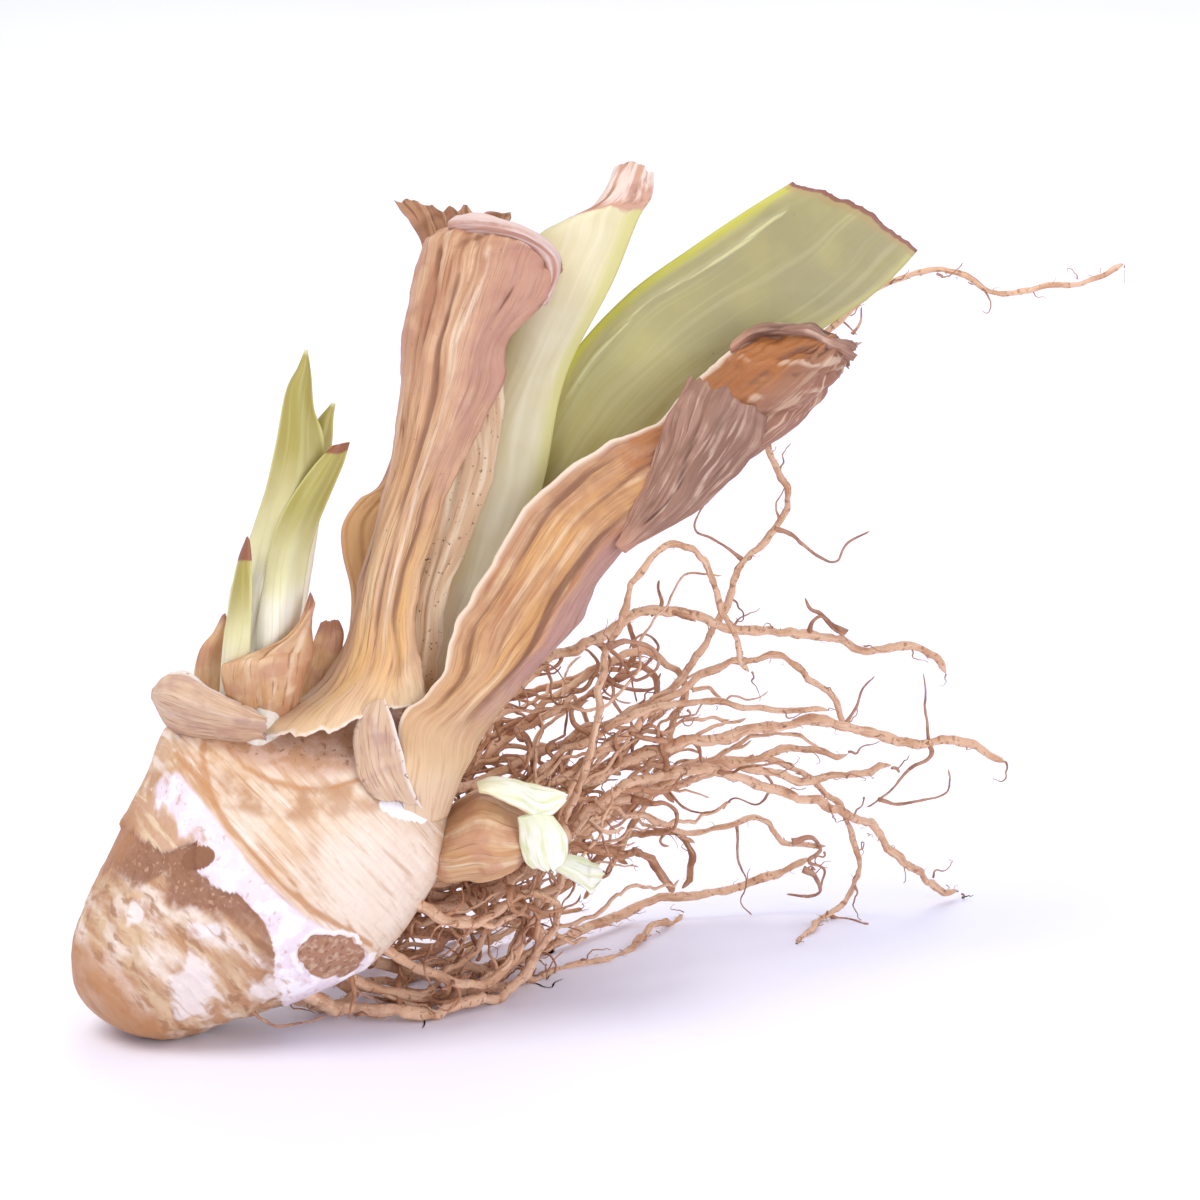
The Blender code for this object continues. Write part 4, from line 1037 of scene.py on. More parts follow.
# The roots follow the middle lines of their solids. Sizes are millimetres; knotSizes and flareReach are
# metres, and kinks are pairs of how far apart the bends are and how strong.
root = {
    "ringStep": 0.45,
    "around": 12,
    "kinks": ((9.0, 0.75), (4.0, 0.34), (1.7, 0.10)),
    "knots": 0.24,
    "tipShare": 0.6,
    "intoBody": 5.0,
    "flare": 0.55,
    "knotSizes": (0.0035, 0.0011, 0.0009),
    "fineKnots": 0.10,
    "lobes": 3,
    "lobeTwist": 4,
    "flareReach": 0.0035,
    "nearBody": 1.2,
    "capReach": 4.0,
    "thickest": {
        "root_upper_long": 2.6, "root_arch": 2.0, "root_riser": 1.8, "root_arc": 2.0, "root_straight": 2.0,
        "root_thick_long": 3.0, "root_cut_upper": 2.4, "root_cut_lower": 2.4, "root_long_straight": 2.6,
        "root_hanging": 1.8, "root_floor_long": 2.8, "root_floor_middle": 2.2, "root_floor_front": 3.0,
        "root_floor_inner": 3.0, "root_under_left": 2.4, "root_drop": 2.0, "root_dark": 2.6,
        "root_dark_low": 2.2, "root_wavy": 1.8, "root_back_high": 2.2, "root_back_low": 2.4,
        "root_back_floor": 2.6, "root_mass_upper": 2.0, "root_mass_middle": 2.2, "root_mass_lower": 2.0,
        "root_bud_front": 2.2,
    },
    # The roots at the back and inside the tangle, painted darker as shade
    "darkest": ("root_dark", "root_dark_low", "root_back_high", "root_back_low", "root_mass_upper",
                "root_mass_middle", "root_mass_lower", "root_back_floor"),
}


# The middle line of a root's solid, from the body to its tip, found ring by ring from the tip.
def middleLine(name, bodyTree):
    shape = bmesh.new()
    shape.from_mesh(frame["nodes"][name].data)
    bmesh.ops.remove_doubles(shape, verts=shape.verts, dist=0.00002)

    def levels(starts):
        found = [set(starts)]
        met = set(starts)
        while found[-1]:
            following = {edge.other_vert(v) for v in found[-1] for edge in v.link_edges} - met
            met |= following
            found.append(following)
        return found[:-1]

    nearest = [v for v in shape.verts if bodyTree.find_nearest(v.co)[3] < root["nearBody"] * millimetre]
    if not nearest:
        nearest = [min(shape.verts, key=lambda v: bodyTree.find_nearest(v.co)[3])]
    tip = min(levels(nearest)[-1], key=lambda v: tuple(v.co))
    cap = [v for v in shape.verts if (v.co - tip.co).length < root["capReach"] * millimetre]
    middles = []
    for ring in levels(cap):
        middles.append(np.mean(sorted(tuple(v.co) for v in ring), axis=0))
        if len(ring) != 6 and len(middles) > 2:
            break
    shape.free()
    return np.array(middles[::-1])


# A wrinkled, knotted tube along a path, closed at both ends.
def tubePoints(path, radius, around, seed, flare=0.0, tipShare=0.6, detail=1.0):
    count = len(path)
    t = np.linspace(0, 1, count)[:, None]
    run = np.concatenate([[0], np.cumsum(np.linalg.norm(np.diff(path, axis=0), axis=1))])
    line = np.stack([run, 0 * run + seed * 0.05, 0 * run], axis=-1)
    ahead = unit(np.gradient(path, axis=0))
    side = np.zeros((count, 3))
    side[0] = np.cross(ahead[0], (0.3, 0.2, 1.0))
    side[0] /= np.linalg.norm(side[0])
    for i in range(1, count):
        flat = side[i - 1] - ahead[i] * (side[i - 1] @ ahead[i])
        side[i] = flat / max(np.linalg.norm(flat), 1e-9)
    other = np.cross(ahead, side)
    fade = np.minimum(1, 4 * t[:, 0])[:, None]
    for way, add in ((side, 0), (other, 500)):
        chance = np.random.default_rng(seed + add)
        for size, amount in root["kinks"]:
            bentAt = np.arange(0, run[-1] + 2 * size * millimetre, size * millimetre)
            bentAt = bentAt + chance.uniform(-0.35, 0.35, len(bentAt)) * size * millimetre
            bends = np.interp(run, bentAt, chance.normal(0, 1, len(bentAt)))[:, None]
            path = path + way * bends * amount * millimetre * detail * fade
    turn = turnsOf(around)
    turned = run[:, None] + 0 * turn
    wall = (turned, radius * np.cos(turn) + seed * 0.05 + 0 * t, radius * np.sin(turn) + 0 * t)
    coarse, middling, fine = root["knotSizes"]
    swell = 1 + root["knots"] * grain(line, coarse, seed + 3)[:, None]
    swell = swell + root["fineKnots"] * grain(line, middling, seed + 4)[:, None]
    swell = swell + root["fineKnots"] * grain(np.stack(wall, axis=-1), fine, seed + 5)
    twist = root["lobeTwist"] * grain(line, 0.02, seed + 6)[:, None]
    swell = swell + root["fineKnots"] * np.cos(root["lobes"] * turn + twist)
    swell = swell * (1 - (1 - tipShare) * t) * (1 + flare * np.exp(-run[:, None] / root["flareReach"]))
    ending = np.sqrt(np.clip((run[-1] - run[:, None]) / (1.6 * radius), 0.02, 1))
    size = radius * swell * ending * 0.95
    ring = np.cos(turn)[..., None] * side[:, None, :] + np.sin(turn)[..., None] * other[:, None, :]
    reach = np.stack([turned, turn * radius + 0 * t, 0 * turn + t], axis=-1).reshape(-1, 3)
    return capped(path[:, None, :] + size[..., None] * ring), ended(reach)


# Tubes joined to one piece, no point of it lower than the given height.
def joinTubes(name, tubes, around, surface, lowest, node=None):
    faces = []
    count = 0
    for points, _ in tubes:
        faces += tubeFaces((len(points) - 2) // around, around, count)
        count += len(points)
    points, reach = (np.concatenate(parts) for parts in zip(*tubes))
    points[:, 2] = np.maximum(points[:, 2], lowest)
    return makePiece(name, points, faces, surface, {"reach": reach}, node)


def makeRoots(surfaces):
    solid = frame["nodes"]["rhizome"].data
    bodyTree = BVHTree.FromPolygons([v.co for v in solid.vertices], [p.vertices for p in solid.polygons])
    paths = {}
    for number, (name, thick) in enumerate(root["thickest"].items()):
        middles = middleLine(name, bodyTree)
        inward = middles[0] - middles[1]
        inward /= max(np.linalg.norm(inward), 1e-9)
        start = middles[0] + inward * root["intoBody"] * millimetre
        path = even(through(np.concatenate([[start], middles]), 10), root["ringStep"] * millimetre)
        tube = tubePoints(path, thick / 2000, root["around"], number, root["flare"], root["tipShare"])
        surface = surfaces["darkRoot" if name in root["darkest"] else "rootBark"]
        pieceName = "".join(word.capitalize() if i else word for i, word in enumerate(name.split("_")))
        joinTubes(pieceName, [tube], root["around"], surface, 0, name)
        paths[name] = path
    return paths


# The roots outside the tangle, and the height in metres that no thin root goes below
outerRoots = ("root_riser", "root_under_left", "root_floor_front", "root_floor_inner")
thinLowest = 0.0001

# Thinner roots that fill the tangle: each runs from one root's course to another's, leaning over to it
# more towards its tip. thick and spread are millimetres, driftSize and ringStep metres.
tangle = {
    "count": 50,
    "thick": (0.8, 1.7),
    "spread": 5.0,
    "driftSize": 0.018,
    "starts": (0.03, 0.25),
    "ends": (0.45, 0.86),
    "leans": (0.2, 0.8),
    "steps": 40,
    "ringStep": 0.0007,
    "around": 8,
    "tube": {"flare": 0.0, "tipShare": 0.5, "detail": 1.8},
    "seed": 12,
}


def makeTangle(surface, paths):
    chance = np.random.default_rng(tangle["seed"])
    names = [name for name in paths if name not in outerRoots]
    tubes = []
    for number in range(tangle["count"]):
        first, second = chance.choice(len(names), 2, replace=False)
        begin = chance.uniform(*tangle["starts"])
        end = chance.uniform(*tangle["ends"])
        share = np.linspace(begin, end, tangle["steps"])
        one, two = (paths[names[i]] for i in (first, second))
        one = one[np.round(share * (len(one) - 1)).astype(int)]
        two = two[np.round(share * (len(two) - 1)).astype(int)]
        lean = soft(np.linspace(0, 1, tangle["steps"]), 0.05, 0.9)[:, None]
        lean = lean * chance.uniform(*tangle["leans"])
        drift = rough(one, tangle["driftSize"], 2, 60 + 3 * number)[:, None] * chance.normal(0, 1, 3)
        route = one * (1 - lean) + two * lean + drift * tangle["spread"] * millimetre * lean
        thick = chance.uniform(*tangle["thick"])
        path = even(through(route[::3], 6), tangle["ringStep"])
        tubes.append(tubePoints(path, thick / 2000, tangle["around"], 300 + number, **tangle["tube"]))
    return joinTubes("tangledRoots", tubes, tangle["around"], surface, thinLowest)


# Short curling rootlets that start on the roots near the body and wander from them. length and thick
# are millimetres, ringStep is metres, and turn is how far each step swings round.
curls = {
    "count": 250,
    "length": (8, 26),
    "thick": (0.45, 1.5),
    "turn": 0.34,
    "starts": (0.04, 0.5),
    "ringStep": 0.0006,
    "around": 7,
    "tube": {"flare": 0.4, "tipShare": 0.4, "detail": 0.5},
    "seed": 13,
}


def makeCurls(surface, paths):
    chance = np.random.default_rng(curls["seed"])
    names = [name for name in paths if name not in outerRoots]
    tubes = []
    for number in range(curls["count"]):
        carrier = paths[names[chance.integers(len(names))]]
        start = int(chance.uniform(*curls["starts"]) * (len(carrier) - 2))
        way = carrier[start + 1] - carrier[start]
        way = way / np.linalg.norm(way) + chance.normal(0, 0.7, 3)
        bend = chance.normal(0, 1, 3)
        route = [carrier[start]]
        for _ in range(int(chance.uniform(*curls["length"]))):
            bend = 0.75 * bend + chance.normal(0, 0.7, 3)
            way = way / np.linalg.norm(way) + curls["turn"] * bend
            route.append(route[-1] + way / np.linalg.norm(way) * millimetre)
        thick = chance.uniform(*curls["thick"])
        path = even(through(np.array(route), 3), curls["ringStep"])
        tubes.append(tubePoints(path, thick / 2000, curls["around"], 500 + number, **curls["tube"]))
    return joinTubes("curledRootlets", tubes, curls["around"], surface, thinLowest)


# How the rootlets below are made: each starts on the root that shows within startReach pixels of it,
# where a metre of depth counts as depthWeight pixels. ringStep is metres, above is millimetres.
rootletTubes = {
    "startReach": 14,
    "depthWeight": 300,
    "above": 1,
    "ringStep": 0.0004,
    "around": 8,
    "tube": {"flare": 0.5, "tipShare": 0.45, "detail": 0.55},
}

# Rootlets that the photograph shows one by one: thickness at the base and their route
rootlets = {
    "archSpur": (0.7, [(1006, 686, 38), (995, 678, 37), (982, 670, 36), (985, 661, 36), (994, 648, 36)]),
    "riserSpur": (0.8, [
        (1023, 671, 38), (1034, 676, 38), (1045, 684, 38),
        (1054, 687, 38), (1060, 678, 38), (1071, 673, 38),
    ]),
    "hook": (0.8, [(1096, 786, 39), (1098, 792, 40), (1088, 800, 41), (1076, 812, 43), (1066, 818, 44)]),
    "hookLoop": (0.7, [
        (1076, 812, 43), (1088, 816, 44), (1102, 813, 44), (1112, 808, 44), (1111, 797, 44),
    ]),
    "upright": (0.7, [(1098, 780, 38), (1096, 765, 38), (1097, 743, 38)]),
    "knotUpper": (1.1, [
        (1030, 826, 62), (1040, 824, 62), (1045, 830, 63),
        (1039, 836, 63), (1046, 840, 63), (1044, 848, 64),
    ]),
    "knotLower": (1.0, [
        (1036, 841, 70), (1042, 844, 70), (1045, 852, 70), (1038, 855, 70), (1028, 852, 70),
    ]),
    "clumpA": (1.1, [
        (938, 730, 31), (948, 726, 31), (960, 731, 31), (962, 740, 31), (952, 746, 31), (946, 738, 30),
    ]),
    "clumpB": (1.0, [(944, 748, 33), (956, 742, 33), (965, 732, 33), (958, 726, 33), (950, 732, 32)]),
    "clumpC": (1.0, [(936, 744, 30), (948, 752, 30), (962, 752, 30), (966, 744, 31)]),
    "dropFork": (0.8, [(1050, 866, 60), (1060, 869, 60), (1071, 873, 56)]),
    "upperTwig": (0.8, [(1040, 716, 36), (1046, 708, 36), (1052, 714, 36), (1058, 716, 36)]),
    "floorHair": (0.6, [
        (1003, 820, 56), (1004, 836, 60), (1008, 848, 64), (1005, 858, 66), (1010, 866, 68),
    ]),
    "bodyHairA": (0.7, [
        (757, 908, -14), (763, 915, -14), (772, 919, -13), (783, 918, -10), (796, 914, -6),
    ]),
    "bodyHairB": (0.6, [(838, 884, -6), (850, 878, -6), (856, 868, -5), (866, 860, -5)]),
    "bodyHairC": (0.6, [(806, 896, -10), (814, 906, -10), (824, 912, -8), (838, 913, -6)]),
    "crownHair": (0.5, [(849, 878, -3), (846, 890, -6), (852, 902, -5), (842, 908, -6)]),
    "backTwig": (0.7, [(1057, 768, 39), (1063, 760, 39), (1066, 752, 39), (1072, 745, 39)]),
    "scraps": (0.7, [(1015, 792, 40), (1020, 800, 42), (1014, 810, 44), (1002, 806, 46), (996, 812, 48)]),
    "strandA": (0.6, [(1060, 573, 8), (1063, 567, 8), (1064, 559, 8)]),
    "strandB": (0.5, [(1052, 566, 8), (1057, 569, 8), (1063, 574, 8)]),
    "stub": (1.3, [(1057, 720, 36), (1051, 714, 36), (1045, 709, 36), (1040, 707, 36), (1037, 702, 36)]),
}


def makeRootlets(surface, paths):
    tubes = []
    around = rootletTubes["around"]
    carriers = np.concatenate([path[10:] for path in paths.values()])
    for number, (thick, route) in enumerate(rootlets.values()):
        carrierAcross, carrierDown = seen(carriers)
        route = np.array(route, float)
        deepest = floorDepth(route[:, 1]) - rootletTubes["above"]
        real = place(route[:, 0], route[:, 1], np.minimum(route[:, 2], deepest))
        away = np.hypot(carrierAcross - route[0, 0], carrierDown - route[0, 1])
        away = away + rootletTubes["depthWeight"] * np.abs(carriers[:, 1] - real[0, 1])
        nearest = np.argmin(away)
        if away[nearest] < rootletTubes["startReach"]:
            real = real + carriers[nearest] - real[0]
        path = even(through(real, 10), rootletTubes["ringStep"])
        path[:, 2] = np.maximum(path[:, 2], thick / 2000)
        carriers = np.concatenate([carriers, path])
        tubes.append(tubePoints(path, thick / 2000, around, 100 + number, **rootletTubes["tube"]))
    return joinTubes("namedRootlets", tubes, around, surface, 0)


# The form of all hairs: points along each, how it wanders and rises at each of them, its rings, the
# share of them that is kept, and the most that one is turned about each axis.
hairForm = {
    "steps": 16,
    "wander": 0.42,
    "rise": 0.10,
    "rings": 22,
    "around": 5,
    "tube": {"flare": 0.4, "tipShare": 0.3, "detail": 0.1},
    "skipped": 14,
    "kept": 0.75,
    "turns": (1.1, 0.5, 2 * math.pi),
}

# Fine side roots, spread over the roots by geometry nodes. Lengths and spacings are millimetres.
hairs = {
    "fineHairs": {
        "spacing": 2.4, "length": 3.4, "thick": 0.16,
        "kinds": 5, "smallest": 0.25, "largest": 1.0, "seed": 3,
    },
    "sideRoots": {
        "spacing": 9.0, "length": 11.0, "thick": 0.5,
        "kinds": 6, "smallest": 0.35, "largest": 1.0, "seed": 8,
    },
}


def makeHairKinds(settings):
    folder = bpy.data.collections.new("hairKinds")
    chance = np.random.default_rng(settings["seed"])
    for kind in range(settings["kinds"]):
        steps = hairForm["steps"]
        path = np.zeros((steps, 3))
        way = np.array((0, 0, 1.0))
        for i in range(1, steps):
            way = way + chance.normal(0, hairForm["wander"], 3) + np.array((0, 0, hairForm["rise"]))
            way /= np.linalg.norm(way)
            path[i] = path[i - 1] + way * settings["length"] * millimetre / steps
        path = even(through(path, 2), settings["length"] * millimetre / hairForm["rings"])
        radius = settings["thick"] * millimetre / 2
        points, _ = tubePoints(path, radius, hairForm["around"], 200 + kind, **hairForm["tube"])
        mesh = bpy.data.meshes.new(f"hairKind{kind}")
        mesh.from_pydata(points.tolist(), [], tubeFaces(len(path), hairForm["around"]))
        mesh.shade_smooth()
        folder.objects.link(bpy.data.objects.new(mesh.name, mesh))
    return folder


def makeHairs(name, settings, paths, surface):
    folder = makeHairKinds(settings)
    curve = bpy.data.curves.new(name, "CURVE")
    curve.dimensions = "3D"
    for path in paths.values():
        line = curve.splines.new("POLY")
        inside = path[hairForm["skipped"] :]
        line.points.add(len(inside) - 1)
        for point, at in zip(line.points, inside):
            point.co = (*at, 1)
    carrier = addObject(name + "Carrier", curve)

    tree = bpy.data.node_groups.new(name, "GeometryNodeTree")
    tree.interface.new_socket("Geometry", in_out="INPUT", socket_type="NodeSocketGeometry")
    sockets = {}
    for label, unitSize in (("Spacing", millimetre), ("Smallest", 1), ("Largest", 1)):
        socket = tree.interface.new_socket(label, in_out="INPUT", socket_type="NodeSocketFloat")
        sockets[socket.identifier] = settings[label.lower()] * unitSize
    tree.interface.new_socket("Geometry", in_out="OUTPUT", socket_type="NodeSocketGeometry")
    given = tree.nodes.new("NodeGroupInput")
    spaced = {"Curve": given.outputs["Geometry"], "Length": given.outputs["Spacing"]}
    dots = addNode(tree, "GeometryNodeCurveToPoints", {"mode": "LENGTH"}, spaced)
    choice = {"Collection": folder, "Separate Children": True, "Reset Children": True}
    kinds = addNode(tree, "GeometryNodeCollectionInfo", choice)

    def chanceOf(kind, number, more, links=()):
        values = {"data_type": kind, "Seed": settings["seed"] + number, **more}
        return addNode(tree, "FunctionNodeRandomValue", values, links).outputs

    spin = chanceOf("FLOAT_VECTOR", 0, {0: (0, 0, 0), 1: hairForm["turns"]})[0]
    tilt = addNode(tree, "FunctionNodeEulerToRotation", links={0: spin})
    turned = {0: dots.outputs["Rotation"], 1: tilt.outputs[0]}
    aim = addNode(tree, "FunctionNodeRotateRotation", {"rotation_space": "LOCAL"}, turned)
    size = chanceOf("FLOAT", 1, {}, {2: given.outputs["Smallest"], 3: given.outputs["Largest"]})[1]
    keep = chanceOf("BOOLEAN", 2, {"Probability": hairForm["kept"]})[3]
    placing = {"Points": dots.outputs["Points"], "Instance": kinds.outputs[0], "Selection": keep}
    placing |= {"Rotation": aim.outputs[0], "Scale": size}
    grown = addNode(tree, "GeometryNodeInstanceOnPoints", {"Pick Instance": True}, placing)
    real = addNode(tree, "GeometryNodeRealizeInstances", links={0: grown.outputs[0]})
    clad = addNode(tree, "GeometryNodeSetMaterial", {"Material": surface}, {0: real.outputs[0]})
    result = tree.nodes.new("NodeGroupOutput")
    tree.links.new(clad.outputs[0], result.inputs[0])
    growing = carrier.modifiers.new(name, "NODES")
    growing.node_group = tree
    for identifier, value in sockets.items():
        growing[identifier] = value
    graph = bpy.context.evaluated_depsgraph_get()
    mesh = bpy.data.meshes.new_from_object(carrier.evaluated_get(graph), depsgraph=graph)
    bpy.data.objects.remove(carrier)
    for kind in list(folder.objects):
        bpy.data.objects.remove(kind)
    bpy.data.collections.remove(folder)
    points = np.zeros(len(mesh.vertices) * 3, np.float32)
    mesh.vertices.foreach_get("co", points)
    points = points.reshape(-1, 3)
    points[:, 2] = np.maximum(points[:, 2], thinLowest)
    points = np.clip(points, *cadCorners).astype(np.float32)
    mesh.vertices.foreach_set("co", points.ravel())
    mesh.shade_smooth()
    made = addObject(name, mesh)
    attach(made, "root")
    return made


# The layers of a surface, from the lowest up. Sizes are metres, and span is where the noise sets in and
# where it is full. A place is a value of the piece, its channel, and where the layer sets in and is full.
def patch(colour, amount, *places, **more):
    return {"colour": colour, "amount": amount, "where": places, **more}


def spots(colour, amount, size, span, *places, **more):
    return patch(colour, amount, *places, grain=(size,) * 3, span=span, **more)


def streaks(colour, amount, sizes, span, *places, **more):
    return patch(colour, amount, *places, on="fibre", grain=sizes, span=span, **more)


def wrinkles(colour, amount, sizes, span, *places, **more):
    return patch(colour, amount, *places, on="reach", grain=sizes, span=span, **more)


